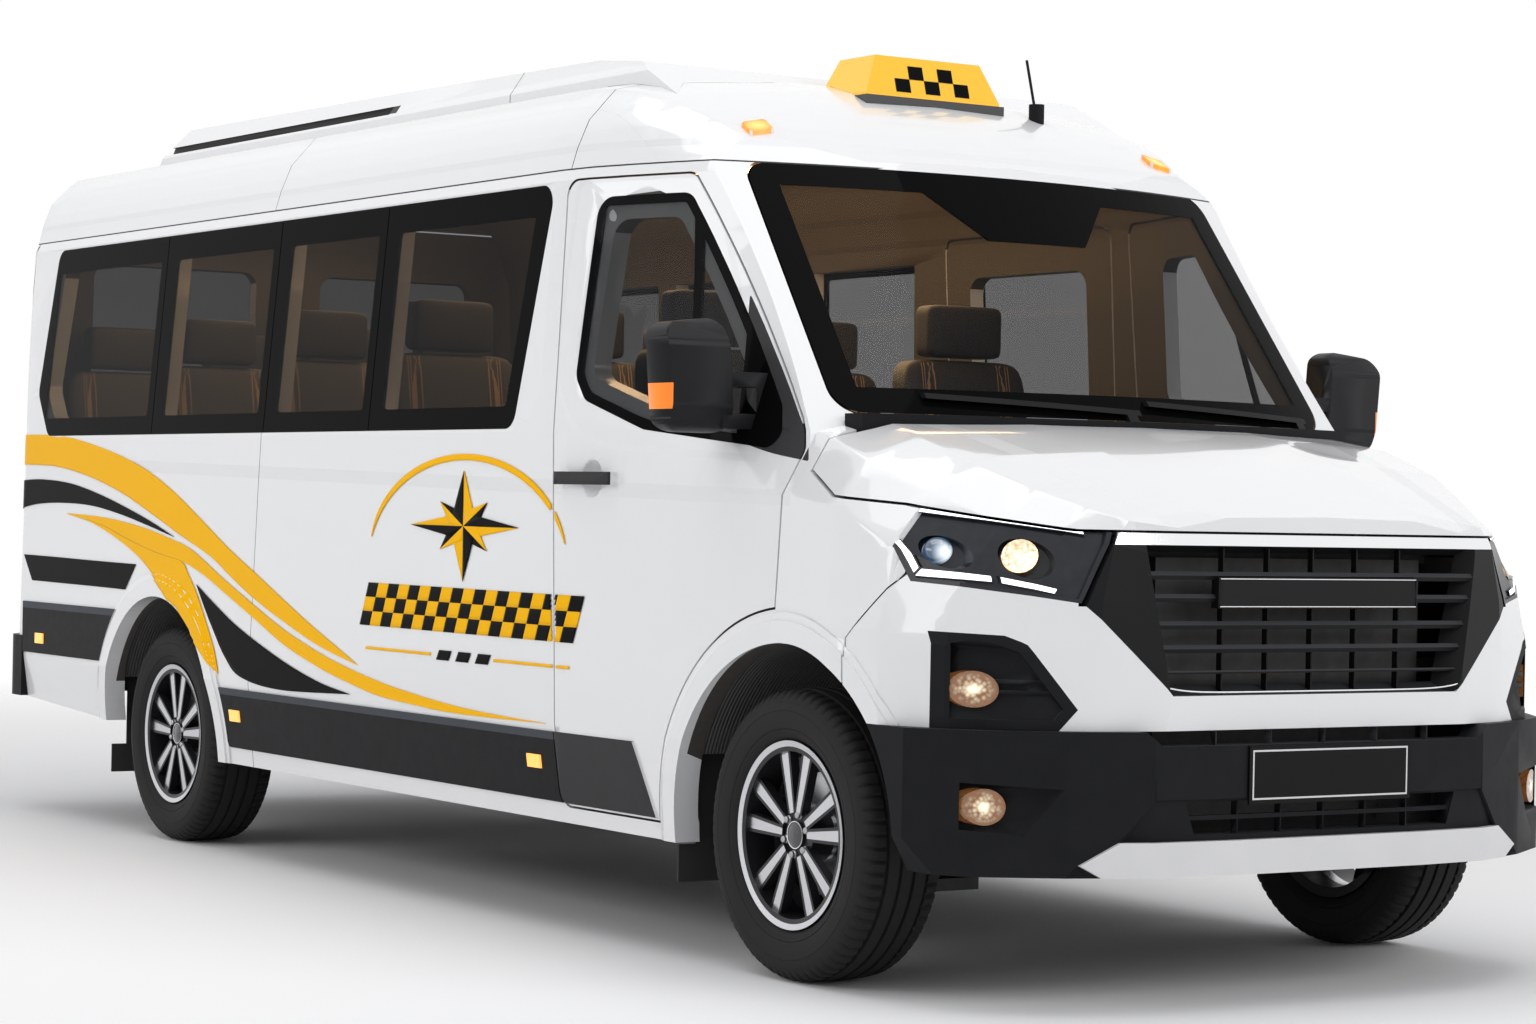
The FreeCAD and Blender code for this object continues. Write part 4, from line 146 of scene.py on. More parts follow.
class Finish(Nodes):
    """One material. Stations and heights are in millimetres."""

    def __init__(self, name):
        self.material = bpy.data.materials.new(name)
        super().__init__(self.material)
        self.place = self.node("ShaderNodeTexCoord", {}, {}, "Object")
        self.x, self.y, self.z = self.parts(self.place)
        self.station = (self.x - axle) * 1000
        self.out = abs(self.y) * 1000
        self.height = self.z * 1000

    def parts(self, vector):
        split = self.node("ShaderNodeSeparateXYZ", {}, [vector]).socket.node
        return [Value(self, socket) for socket in split.outputs]

    def facing(self):
        return self.parts(self.node("ShaderNodeNewGeometry", {}, {}, "Normal"))

    def side(self):
        """-1 on the vehicle's right and 1 on its left."""
        return self.node("ShaderNodeMath", {"operation": "SIGN"}, [self.y])

    def away(self, across, up):
        """How far a point lies from a place that is so far across and so far up from it."""
        return self.node("ShaderNodeMath", {"operation": "SQRT"}, [across * across + up * up])

    def noise(self, scale, detail=3):
        return self.node("ShaderNodeTexNoise", {}, {"Vector": self.place, "Scale": scale, "Detail": detail})

    def cells(self, scale):
        return self.node("ShaderNodeTexVoronoi", {}, {"Vector": self.place, "Scale": scale})

    def ribs(self, direction, scale):
        return self.node("ShaderNodeTexWave", {"bands_direction": direction},
                         {"Vector": self.place, "Scale": scale})

    def mix(self, mask, first, second):
        """The first colour, and the second where the mask is 1."""
        colours = [colour if isinstance(colour, Value) else (*colour, 1) for colour in (first, second)]
        return self.node("ShaderNodeMix", {"data_type": "RGBA"}, {0: mask, 6: colours[0], 7: colours[1]}, 2)

    def between(self, mask, low, high):
        return low + mask * (high - low)

    def bump(self, relief):
        """A normal from a relief in metres."""
        return self.node("ShaderNodeBump", {}, {"Height": relief, "Strength": 1.0, "Distance": 1.0})

    def outline(self, corners, softness, across=None):
        """How far inside an outline of the flank, or of the front, a point lies. The corners run
        clockwise and are rounded by the softness."""
        across = self.station if across is None else across
        depth = None
        for (x0, z0), (x1, z1) in zip(corners, corners[1:] + corners[:1]):
            length = math.hypot(x1 - x0, z1 - z0)
            a, b = (z1 - z0) / length, (x0 - x1) / length
            inside = across * a + (self.height * b - (a * x0 + b * z0))
            depth = inside if depth is None else depth.sum("SMOOTH_MIN", depth, inside, softness)
        return depth

    def surface(self, **sockets):
        named = {key.replace("_", " "): (*value, 1) if isinstance(value, tuple) else value
                 for key, value in sockets.items()}
        shader = self.node("ShaderNodeBsdfPrincipled", {}, named)
        self.node("ShaderNodeOutputMaterial", {}, [shader])
        return self


def plain(name, first, second, tones, relief=None, **sockets):
    """A finish between two near tones, spread by a noise, mostly with a fine relief in metres."""
    finish = Finish(name)
    if relief:
        sockets["Normal"] = finish.bump(relief(finish))
    return finish.surface(Base_Color=finish.mix(finish.noise(*tones), first, second), **sockets)


def nowhere(finish):
    """A mask that is 0 all over the vehicle."""
    return finish.height < 0


def give(finish, *names):
    """Puts a finish on nodes of the frame."""
    for name in names:
        nodes[name].data.materials.clear()
        nodes[name].data.materials.append(finish.material)


def linked(name, data):
    thing = bpy.data.objects.new(name, data)
    bpy.context.scene.collection.objects.link(thing)
    return thing


body_of = {name: body for body, names in frame["record"]["behaviour"]["bodies"].items() for name in names}


def pressed(finish, *names, crease=24):
    """Curved panels: each node's own form, smooth across its curves and sharp at its folds."""
    for name in names:
        mesh = nodes[name].data.copy()
        form = bmesh.new()
        form.from_mesh(mesh)
        bmesh.ops.remove_doubles(form, verts=form.verts, dist=0.00002)
        form.to_mesh(mesh)
        form.free()
        mesh.materials.clear()
        mesh.materials.append(finish.material)
        mesh.shade_smooth()
        mesh.set_sharp_from_angle(angle=math.radians(crease))
        panel = linked(name + "_panel", mesh)
        weights = panel.modifiers.new("even_shading", "WEIGHTED_NORMAL")
        weights.keep_sharp = True
        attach(panel, body_of[name])
        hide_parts(name)


floor_half, fade_start, fade_end = 14, 4.5, 11
ground = Finish("pale_floor")
spread = ground.away(ground.x, ground.y)
floor_tone = ground.mix(ground.noise(0.7), (0.95, 0.95, 0.95), (0.92, 0.92, 0.925))
ground.surface(Base_Color=floor_tone, Roughness=0.8, Specular_IOR_Level=0.1,
               Alpha=1 - spread.rising(fade_start, fade_end))
floor_mesh = bpy.data.meshes.new("floor")
floor_mesh.from_pydata([(x * floor_half, y * floor_half, 0) for x, y in ((-1, -1), (1, -1), (1, 1), (-1, 1))],
                       [], [(0, 1, 2, 3)])
floor_mesh.materials.append(ground.material)
linked("floor", floor_mesh)

world = bpy.data.worlds.new("studio")
bpy.context.scene.world = world
studio = Nodes(world)
shown, through_glass, mirrored = (studio.node("ShaderNodeLightPath", {}, {}, ray)
                                  for ray in ("Is Camera Ray", "Is Transmission Ray", "Is Glossy Ray"))
backdrop = studio.node("ShaderNodeBackground", {}, {"Color": (1, 1, 1, 1)})
ambient = studio.node("ShaderNodeBackground", {}, {"Color": (0.97, 0.98, 1, 1), "Strength": 0.52})
seen_or_lit = studio.node("ShaderNodeMixShader", {}, [shown | through_glass | mirrored, ambient, backdrop])
studio.node("ShaderNodeOutputWorld", {}, [seen_or_lit])


def softbox(name, place, target, size, power, colour=(1, 1, 1)):
    lamp = bpy.data.lights.new(name, "AREA")
    lamp.shape = "RECTANGLE"
    lamp.size, lamp.size_y = size
    lamp.energy = power
    lamp.color = colour
    stand = linked(name, lamp)
    stand.location = place
    stand.rotation_euler = (Vector(target) - Vector(place)).to_track_quat("-Z", "Y").to_euler()
    stand.visible_camera = stand.visible_transmission = False


softbox("overhead_box", (1, -1, 9), (0, 0, 1), (9, 6), 310)
softbox("front_box", (10, 3, 5), (2, 0, 1), (5, 4), 230)
softbox("side_box", (-1, -10, 5), (-1, 0, 1), (9, 3), 230)

# Painted shell: pressed steel panels in gloss white under clear coat. Folds run along the
# flank, the roof's edge and the bonnet, and thin dark gaps part the panels. Faces that look
# into the cabin or the wheel arches are dark.
white, gap_black = (0.82, 0.825, 0.835), (0.02, 0.02, 0.022)
flank_step, rail_step, bonnet_step, orange_peel = 0.009, 0.004, 0.011, 0.00004
gutter_height, gutter_half, seam_half = 2046, 2.2, 1.6
flank_seam, roof_seams = -2929, (-1112, -2960)


def panel_relief(finish):
    """The pressed folds of the panels, in metres."""
    above_fold = finish.height - 1175 + finish.station * 0.018
    flank = above_fold.rising(-22, 16) * (finish.out > 900) * finish.station.within(-4700, -30) * flank_step
    rail = (finish.height.rising(2092, 2112) - finish.height.rising(2150, 2196)) * rail_step
    middle = 1 - (finish.out + finish.station * 0.16).rising(600, 668)
    bonnet = middle * (finish.station > 20) * (finish.height > 1090) * bonnet_step
    return flank + rail + bonnet + finish.noise(420, 2) * orange_peel


def body_paint(name, dark, well=None):
    """Body colour, with the areas of the dark mask in satin black, and a shallow well in the panel."""
    finish = Finish(name)
    facing_x, facing_y, facing_z = finish.facing()
    inner_flank = (facing_y * finish.side() < -0.25) * (finish.out > 500)
    underside = (facing_z < -0.35) * (finish.out < 1000)
    inner_tail = (facing_x > 0.5) * (finish.station < -4900)
    inward = inner_flank | underside | inner_tail
    trim_tone = finish.mix(finish.noise(60), (0.05, 0.047, 0.043), (0.075, 0.068, 0.06))
    outward = 1 - inward
    black = dark(finish) * outward
    tone = finish.mix(finish.noise(1.3), white, (0.8, 0.806, 0.818))
    tone = finish.mix(black, finish.mix(inward, tone, trim_tone), gap_black)
    gloss = outward * (1 - black)
    relief = panel_relief(finish)
    if well:
        relief = relief - well(finish) * outward
    finish.surface(Base_Color=tone, Roughness=finish.between(gloss, 0.6, 0.26), Coat_Weight=gloss,
                   Coat_Roughness=0.03, Specular_IOR_Level=0.3, Normal=finish.bump(relief))
    return finish


def wall_gaps(finish):
    leaning = finish.station - flank_seam - (finish.height - 1162) * 0.09
    joint = leaning.near(0, seam_half) * (finish.height < 1348)
    return (joint | finish.height.near(gutter_height, gutter_half)) * (finish.out > 500)


def roof_gaps(finish):
    front, rear = (finish.station.near(seam, seam_half) for seam in roof_seams)
    gutter = finish.height.near(gutter_height, gutter_half) * (finish.station < -500)
    return ((front | rear) * (finish.height > 2040)) | gutter


pressed(body_paint("wall_paint", wall_gaps), "side_wall_right", "side_wall_left", "tail_frame")
pressed(body_paint("roof_paint", roof_gaps), "roof")
pressed(body_paint("nose_paint", nowhere), "bonnet", "front_panel")
pressed(body_paint("tail_door_paint", nowhere), "rear_door_right", "rear_door_left")


def made(name, vertices, faces, finish, body, slot, sharp=40):
    """A piece from points and faces, finished, riding on its body, with edges past an angle sharp."""
    mesh = bpy.data.meshes.new(name)
    mesh.from_pydata(vertices, [], faces)
    mesh.validate()
    mesh.materials.append(finish.material)
    mesh.shade_smooth()
    mesh.set_sharp_from_angle(angle=math.radians(sharp))
    piece = linked(name, mesh)
    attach(piece, body)
    return piece


# Doors and wings: the same paint, with a black pull handle on each side door, the foot of the
# door clad like the sill, and a black cover over the corner that carries the mirror.
handle_height, handle_half, handle_out = 1215, 17.5, 1043.5
front_handle, passenger_handle = (-1030, -765), (-1962, -1697)
mirror_cover = [(-401, 1691), (-30, 1262), (-187, 1283), (-315, 1315)]
well_outline = [(-1094, 1490), (-1050, 2010), (-600, 2010), (-215, 1268), (-849, 1302), (-992, 1356)]
well_depth, well_edge = 0.0045, 9


def mirror_corner(finish):
    return (finish.outline(mirror_cover, 12) > 0) * (finish.out > 700)


def door_dark(finish):
    handle = finish.height.near(handle_height, handle_half) * (finish.out > handle_out)
    handle = handle * (finish.station.within(*front_handle) | finish.station.within(*passenger_handle))
    slant = finish.station + (finish.height - 350) * 0.532
    sill = finish.height.within(349, 538.5) * (slant < -560) * (finish.out > 930)
    return handle | sill | mirror_corner(finish)


def window_well(finish):
    depth = finish.outline(well_outline, 40)
    return depth.rising(-well_edge, well_edge) * (finish.station > -1104) * well_depth


door_paint = body_paint("door_paint", door_dark, window_well)
pressed(door_paint, "front_door_right", "front_door_left", "passenger_door")
pressed(body_paint("wing_paint", mirror_corner), "front_wings")

# Stripes: cut vinyl film laid on the flanks from the tail lamps down to the sills, in warm
# yellow and black. Each stripe lies on whichever panel is under it and moves with it.
film_stand, film_thickness = 0.0026, 0.0004
stripe_steps, stripe_rows = 170, 14
outside = 1.2   # metres from the middle, past either flank


def skin_of(name):
    mesh = nodes[name].data
    return BVHTree.FromPolygons([v.co for v in mesh.vertices], [p.vertices for p in mesh.polygons])


def curve_through(points, count):
    """Points evenly spread along a smooth line through the given ones."""
    knots = [Vector(p) for p in points]
    knots = [2 * knots[0] - knots[1]] + knots + [2 * knots[-1] - knots[-2]]
    spans = len(knots) - 3
    curve = []
    for step in range(count + 1):
        place = min(step * spans / count, spans - 1e-6)
        index = int(place)
        t = place - index
        a, b, c, e = knots[index:index + 4]
        curve.append(0.5 * (2 * b + (c - a) * t + (2 * a - 5 * b + 4 * c - e) * t * t
                            + (3 * b - a - 3 * c + e) * t * t * t))
    return curve


def between_edges(upper, lower, count, rows):
    """A grid of points that fills the space between two smooth edges."""
    return [[a.lerp(b, row / rows) for row in range(rows + 1)]
            for a, b in zip(curve_through(upper, count), curve_through(lower, count))]


def laid(grid, skin, start, toward, stand, turned):
    """Grid points dropped on a skin; start turns a flat point into one outside the skin. The
    faces are turned over where the grid runs the other way round."""
    vertices = []
    index = {}
    for i, row in enumerate(grid):
        for j, spot in enumerate(row):
            hit = skin.ray_cast(start(spot), toward, 1.4)[0]
            if hit is not None:
                index[i, j] = len(vertices)
                vertices.append(hit - toward * stand)
    faces = []
    for i in range(len(grid) - 1):
        for j in range(len(grid[0]) - 1):
            corners = [(i, j), (i + 1, j), (i + 1, j + 1), (i, j + 1)]
            if all(corner in index for corner in corners):
                cell = [index[corner] for corner in corners]
                faces.append(cell[::-1] if turned else cell)
    return vertices, faces


def gathered(shapes):
    """The points and faces of several shapes as those of one."""
    vertices, faces = [], []
    for found, cells in shapes:
        faces += [[n + len(vertices) for n in cell] for cell in cells]
        vertices += found
    return vertices, faces


def cut_film(name, grids, finish, slot, side, panels):
    """Film on a flank: one piece for each panel that it crosses."""
    for node, body in panels:
        skin = skin_of(node)
        vertices, faces = gathered(
            laid(grid, skin, lambda p: Vector((axle + p[0] / 1000, side * outside, p[1] / 1000)),
                 Vector((0, -side, 0)), film_stand, side > 0) for grid in grids)
        if faces:
            piece = made(name + "_" + node, vertices, faces, finish, body, slot)
            piece.modifiers.new("thickness", "SOLIDIFY").thickness = film_thickness


def film_relief(finish):
    return finish.noise(260) * 0.00003


yellow_film = plain("yellow_film", (1.0, 0.52, 0.0), (0.97, 0.49, 0.0), (3,), film_relief, Roughness=0.35,
                    Specular_IOR_Level=0.05)
black_film = plain("black_film", (0.005, 0.005, 0.0055), (0.008, 0.008, 0.0085), (4,), film_relief,
                   Roughness=0.35, Specular_IOR_Level=0.02)
# Each stripe has an upper and a lower edge, as stations and heights from the tail forwards.
yellow_edges = (
    ([(-5040, 1356), (-4933, 1354), (-4549, 1346), (-4158, 1299), (-3846, 1239), (-3606, 1169),
      (-3372, 1078), (-3146, 985), (-2928, 906), (-2718, 829), (-2539, 765), (-2366, 708), (-2209, 656)],
     [(-5040, 1247), (-4934, 1246), (-4611, 1240), (-4313, 1207), (-4025, 1154), (-3779, 1090),
      (-3540, 1023), (-3277, 953), (-3115, 891), (-2951, 832), (-2741, 770), (-2480, 703), (-2209, 656)]),
    ([(-4502, 1077), (-4146, 1065), (-3836, 1038), (-3597, 1004), (-3423, 971), (-3196, 892),
      (-2977, 820), (-2739, 746), (-2511, 690), (-2315, 652), (-2079, 617), (-1853, 593),
      (-1593, 573), (-1344, 563), (-1090, 558)],
     [(-4502, 1076), (-4180, 1040), (-3920, 990), (-3700, 955), (-3507, 933), (-3335, 894),
      (-3139, 832), (-2922, 761), (-2711, 692), (-2459, 634), (-2265, 601), (-2078, 575),
      (-1852, 562), (-1592, 553), (-1090, 557)]),
    ([(-4495, 1074), (-4180, 1039), (-3920, 989), (-3700, 954), (-3509, 932), (-3448, 891),
      (-3374, 824), (-3299, 734), (-3240, 657), (-3203, 579)],
     [(-4495, 1073), (-4272, 1046), (-4048, 996), (-3862, 939), (-3739, 883), (-3640, 830),
      (-3530, 765), (-3440, 717), (-3323, 642), (-3203, 578)]))
black_edges = (
    ([(-5040, 1182), (-4952, 1188), (-4744, 1194), (-4474, 1181), (-4213, 1146), (-3961, 1100),
      (-3747, 1055), (-3569, 1011)],
     [(-5040, 1076), (-4964, 1086), (-4774, 1106), (-4537, 1112), (-4275, 1105), (-4022, 1079),
      (-3776, 1043), (-3569, 1010)]),
    ([(-3384, 861), (-3247, 805), (-3081, 743), (-2865, 680), (-2658, 629), (-2457, 591), (-2264, 569)],
     [(-3384, 860), (-3316, 786), (-3243, 714), (-3157, 638), (-3040, 580), (-2756, 555), (-2264, 568)]),
    ([(-4903, 923), (-4560, 920), (-4220, 916), (-3881, 913)],
     [(-4821, 832), (-4540, 830), (-4250, 828), (-3972, 825)]))
flank_panels = {-1: [("side_wall_right", "root"), ("front_door_right", "front_door_right")],
                1: [("side_wall_left", "root"), ("passenger_door", "passenger_door"),
                    ("front_door_left", "front_door_left")]}
sides = ((-1, "right"), (1, "left"))
for side, word in sides:
    for colour, edges, finish, slot in (("yellow", yellow_edges, yellow_film, "yellow_plastic"),
                                        ("black", black_edges, black_film, "dark_plastic")):
        grids = [between_edges(upper, lower, stripe_steps, stripe_rows) for upper, lower in edges]
        cut_film(colour + "_stripes_" + word, grids, finish, slot, side, flank_panels[side])

# Flank emblem: a plain compass star under an arc, over a band of checks with thin lines below,
# cut from the same films. It is drawn wide, so that it reads upright along the flank.
emblem_station, emblem_height, emblem_stretch = -1570, 1000, 2.05
star_points, star_rise, ray_steps, ray_rows = 4, 78, 8, 5
arc_steps, cut_rows = 96, 3
check_columns, check_width, check_rise, check_foot, check_left, check_lean = 19, 32, 42, -222, -310, 9


def on_emblem(across, up):
    return Vector((emblem_station + across * emblem_stretch, emblem_height + up))


def star_grids(tip, waist, turn):
    """The rays of a star, each as two small grids that meet on its middle line."""
    grids = []
    for ray in range(star_points):
        angle = turn + ray * 2 * math.pi / star_points
        for half in (-1, 1):
            bend = angle + half * math.pi / star_points
            rows = []
            for step in range(ray_steps + 1):
                part = step / ray_steps
                edge = on_emblem(waist * part * math.sin(bend), waist * part * math.cos(bend) + star_rise)
                spine = on_emblem(tip * part * math.sin(angle), tip * part * math.cos(angle) + star_rise)
                rows.append([edge.lerp(spine, row / ray_rows) for row in range(ray_rows + 1)])
            grids.append((half, rows))
    return grids


def arc_grid(inner, outer, reach, taper):
    """An arc over the star, to the same reach in degrees on both sides, that thins at its ends."""
    grid = []
    for step in range(arc_steps + 1):
        t = step / arc_steps
        angle = math.radians(-reach + 2 * reach * t)
        thin = (outer - inner) * (1 - taper * abs(2 * t - 1) ** 3)
        radii = [outer - thin * row / cut_rows for row in range(cut_rows + 1)]
        grid.append([on_emblem(radius * math.sin(angle), radius * math.cos(angle)) for radius in radii])
    return grid


def band_grid(left, right, foot, head, lean, columns=9):
    return [[on_emblem(left + (right - left) * i / columns + lean * j / cut_rows,
                       foot + (head - foot) * j / cut_rows)
             for j in range(cut_rows + 1)] for i in range(columns + 1)]


star = star_grids(156, 44, 0)
small_star = star_grids(96, 38, math.pi / star_points)
yellow_cuts = [rows for half, rows in star if half > 0] + [rows for half, rows in small_star if half < 0]
yellow_cuts += [arc_grid(262, 280, 82, 0.85)]
yellow_cuts += [band_grid(left, left + 200, -292, -284, 0, 24) for left in (-290, 90)]
black_cuts = [rows for half, rows in star if half < 0] + [rows for half, rows in small_star if half > 0]
for row in range(3):
    for column in range(check_columns):
        left = check_left + check_width * column + check_lean * row
        foot = check_foot + check_rise * row
        check = band_grid(left, left + check_width, foot, foot + check_rise, check_lean)
        (yellow_cuts if (row + column) % 2 else black_cuts).append(check)
for middle in (-56, 0, 56):
    black_cuts.append(band_grid(middle - 18, middle + 18, -302, -274, check_lean))
for side, word in sides:
    cut_film("emblem_yellow_" + word, yellow_cuts, yellow_film, "yellow_plastic", side, flank_panels[side])
    cut_film("emblem_black_" + word, black_cuts, black_film, "dark_plastic", side, flank_panels[side])

# Glass: tinted panes bonded flush in the panels, with a fired black border that hides the
# bond line. The windscreen has a black patch for the sensors at its top centre.
fired, tint = (0.0035, 0.0037, 0.004), (0.008, 0.0095, 0.011)
band_foot, band_head, band_lean = 1410, 1925, 0.064
band_panes = ((-4742, -3826), (-3694, -2951), (-2819, -2224), (-2092, -1350))
rear_slant, front_slant, corner_round = 45, 96, 22
door_pane = [(-989, 1483), (-964, 1962), (-656, 1962), (-195, 1402), (-150, 1290), (-669, 1342), (-938, 1421)]
door_border, divider_half, divider_lean = 24, 13, 0.23


def tinted(name, depth, through):
    """A pane that lets some light through where the depth is over zero, and is black elsewhere."""
    finish = Finish(name)
    clear = depth(finish) > 0
    finish.surface(Base_Color=finish.mix(clear, fired, tint), Alpha=finish.between(clear, 1, 1 - through),
                   Roughness=finish.between(finish.noise(2.5, 4), 0.02, 0.045), Specular_IOR_Level=0.015,
                   Coat_Weight=clear * 0.1, Coat_Roughness=0.02)
    return finish


def band_depth(finish):
    """Rounded clear areas between leaning dividers, ahead of a slanted rear edge."""
    leaning = (band_head - band_foot) * band_lean
    depth = None
    for rear, front in band_panes:
        rear_top = rear + (rear_slant if (rear, front) == band_panes[0] else leaning)
        front_top = front + (front_slant if (rear, front) == band_panes[-1] else leaning)
        pane = finish.outline([(rear, band_foot), (rear_top, band_head), (front_top, band_head),
                               (front, band_foot)], corner_round)
        depth = pane if depth is None else depth | pane
    return depth


def front_door_depth(finish):
    pane = finish.outline(door_pane, 16) - door_border
    divider = finish.station + (finish.height - 1639) * divider_lean + 558
    ahead = finish.station + (finish.height - 1317) * divider_lean
    return (pane & (abs(divider) - divider_half)) * (ahead < -315)


def passenger_door_depth(finish):
    return finish.outline([(-1905, 1410), (-1905, 1890), (-1315, 1890), (-1315, 1410)], corner_round)


def tail_depth(finish):
    return (330 - abs(finish.out - 455)) & (280 - abs(finish.height - 1705))


def screen_depth(finish):
    across_screen = 728 - (finish.height - 1388) * 0.053 - finish.out
    up = (finish.height - 1452) & (1985 - finish.height)
    off_patch = (finish.out - (finish.height - 1860) * 1.1 - 160) | (1860 - finish.height)
    return across_screen & up & off_patch


give(tinted("tinted_panes", band_depth, 0.46), "side_glass")
give(tinted("door_panes", front_door_depth, 0.52), "front_door_right_glass", "front_door_left_glass")
give(tinted("step_door_pane", passenger_door_depth, 0.46), "passenger_door_glass")
give(tinted("rear_panes", tail_depth, 0.4), "rear_door_right_glass", "rear_door_left_glass")
pressed(tinted("windscreen", screen_depth, 0.72), "windshield")

# Dark mouldings: grained plastic for the bumpers, cladding, cowl and fog lamp housings, with a
# painted highlight along their upper bevels and upward faces, where the light catches them.
grain_scale, grain_depth = 900, 0.00006


def moulded(name, painted_highlight_band, highlight_tone=(0.06, 0.066, 0.078)):
    finish = Finish(name)
    # Painted highlight: upward faces and the given bands take the paler highlight tone.
    edge = finish.facing()[2].rising(0.25, 0.8) | painted_highlight_band(finish)
    tone = finish.mix(finish.noise(14), (0.009, 0.0095, 0.0105), (0.014, 0.0145, 0.016))
    finish.surface(Base_Color=finish.mix(edge, tone, highlight_tone), Specular_IOR_Level=0.08,
                   Roughness=finish.between(finish.noise(24), 0.42, 0.56),
                   Normal=finish.bump(finish.cells(grain_scale) * grain_depth))
    return finish


# Bands along the cladding's lips that take the painted highlight.
def lip_highlights(finish):
    return finish.height.within(517, 540) | finish.height.within(733, 758)


give(moulded("sill_moulding", lip_highlights), "cladding")
pressed(moulded("bumper_moulding", nowhere, (0.032, 0.034, 0.038)), "front_bumper", "fog_housings")
pressed(moulded("rear_moulding", nowhere), "rear_bumper")
satin = moulded("satin_black", nowhere, (0.012, 0.012, 0.013))
give(satin, "cowl", "antenna", "wipers")

# Grille: black cross bars over ribs, paler on their upper bevels as a painted highlight, with a
# bright bar along its top, a thin bright line round the foot of its opening and a fine bright rim
# round its bare plate.
grille = Finish("grille_moulding")
top_bar = (grille.height > 1079.5) * (grille.station > 690)
# Painted highlight: the upward faces of the bars take a paler tone.
bevel_highlight = grille.facing()[2].rising(0.3, 0.6)
bar_tone = grille.mix(bevel_highlight, (0.007, 0.0075, 0.008), (0.035, 0.037, 0.041))
grille.surface(Base_Color=grille.mix(top_bar, bar_tone, (0.86, 0.87, 0.88)), Metallic=top_bar,
               Roughness=grille.between(top_bar, 0.4, 0.14), Specular_IOR_Level=0.15,
               Normal=grille.bump(grille.cells(grain_scale) * 0.00004))
give(grille, "grille")


def across_way(along):
    """A way square to the given one, level unless that one is nearly upright."""
    return along.cross(Vector((0, 0, 1)) if abs(along.z) < 0.9 else Vector((1, 0, 0))).normalized()


def tube(points, radius, sides_round, closed=False):
    """Points and faces of a round tube along a line of points."""
    vertices, faces = [], []
    count = len(points)
    for index, point in enumerate(points):
        after = points[(index + 1) % count] if closed or index < count - 1 else point
        before = points[index - 1] if closed or index else point
        along = (after - before).normalized()
        side_way = across_way(along)
        up_way = side_way.cross(along)
        for step in range(sides_round):
            angle = 2 * math.pi * step / sides_round
            vertices.append(point + (side_way * math.cos(angle) + up_way * math.sin(angle)) * radius)
    for index in range(count if closed else count - 1):
        here, there = index * sides_round, (index + 1) % count * sides_round
        for step in range(sides_round):
            turn = (step + 1) % sides_round
            faces.append([here + step, here + turn, there + turn, there + step])
    if not closed:
        faces += [list(range(sides_round))[::-1], list(range((count - 1) * sides_round, count * sides_round))]
    return vertices, faces


chrome = Finish("bright_metal")
chrome.surface(Base_Color=chrome.mix(chrome.noise(8), (0.86, 0.87, 0.88), (0.78, 0.79, 0.8)), Metallic=1.0,
               Roughness=chrome.between(chrome.noise(40), 0.12, 0.2))
grille_skin = skin_of("grille")
rim_stand, rim_radius, line_radius = 0.0005, 0.0014, 0.0022
badge_half, badge_foot, badge_head = 0.311, 0.938, 1.003


def on_grille(y, z):
    hit = grille_skin.ray_cast(Vector((3.4, y, z)), Vector((-1, 0, 0)), 1.5)[0]
    return hit + Vector((rim_stand, 0, 0))


foot_line = [Vector((axle + 0.795, -0.457 + 0.914 * step / 40, 0.738 + 0.011 * abs(step / 20 - 1) ** 8))
             for step in range(41)]
made("grille_line", *tube(foot_line, line_radius, 8), chrome, "root", "silver_trim")
badge_rim = [on_grille(y * badge_half, z) for y, z in ((-1, badge_foot), (1, badge_foot), (1, badge_head),
                                                       (-1, badge_head))]
made("badge_plate_rim", *tube(badge_rim, rim_radius, 8, True), chrome, "root", "silver_trim")

# Radiator: a black finned core behind the grille, on the front carrier. Its face is bowed.
fins = Finish("radiator_fins")
fin_rows = fins.ribs("Z", 160)
fins.surface(Base_Color=fins.mix(fin_rows, (0.003, 0.003, 0.003), (0.009, 0.009, 0.01)), Roughness=0.7,
             Specular_IOR_Level=0.2, Normal=fins.bump(fin_rows * 0.0008))
core_ahead, core_bow, core_thickness = 0.6, 0.012, 0.03
core_half, core_foot, core_rise = 0.74, 0.36, 0.7
columns, half_rows = 24, 8
rows = 2 * half_rows
vertices = [(axle + core_ahead + core_bow * math.cos(math.pi * abs(j - half_rows) / half_rows),
             -core_half + 2 * core_half * i / columns, core_foot + core_rise * j / rows)
            for i in range(columns + 1) for j in range(rows + 1)]
cells = [i * (rows + 1) + j for i in range(columns) for j in range(rows)]
faces = [[n, n + rows + 1, n + rows + 2, n + 1] for n in cells]
radiator = made("radiator_core", vertices, faces, fins, "root", "dark_plastic")
radiator.modifiers.new("depth", "SOLIDIFY").thickness = core_thickness

# Skid bar: silver-painted plastic let into the bumper's foot.
pressed(plain("silver_skid_bar", (0.72, 0.72, 0.725), (0.64, 0.64, 0.65), (5,),
              lambda finish: finish.noise(300) * orange_peel, Roughness=0.38, Coat_Weight=0.3), "skid_bar")

# Roof pod: a long moulded unit in the body's white, with a black intake slot down each side.
pod_black = (0.012, 0.012, 0.013)
pod = Finish("roof_pod_paint")
intake = pod.height.near(2353, 13.5) * (pod.out < 752) * (pod.station < -2600)
pod_dark = intake | pod.station.near(-1860, 2)
pod_tone = pod.mix(pod.noise(2), white, (0.79, 0.796, 0.81))
pod_relief = pod.noise(420, 2) * orange_peel + intake * -0.004
pod.surface(Base_Color=pod.mix(pod_dark, pod_tone, pod_black), Coat_Weight=1 - pod_dark,
            Roughness=pod.between(pod_dark, 0.26, 0.6), Normal=pod.bump(pod_relief))
pressed(pod, "roof_pod")

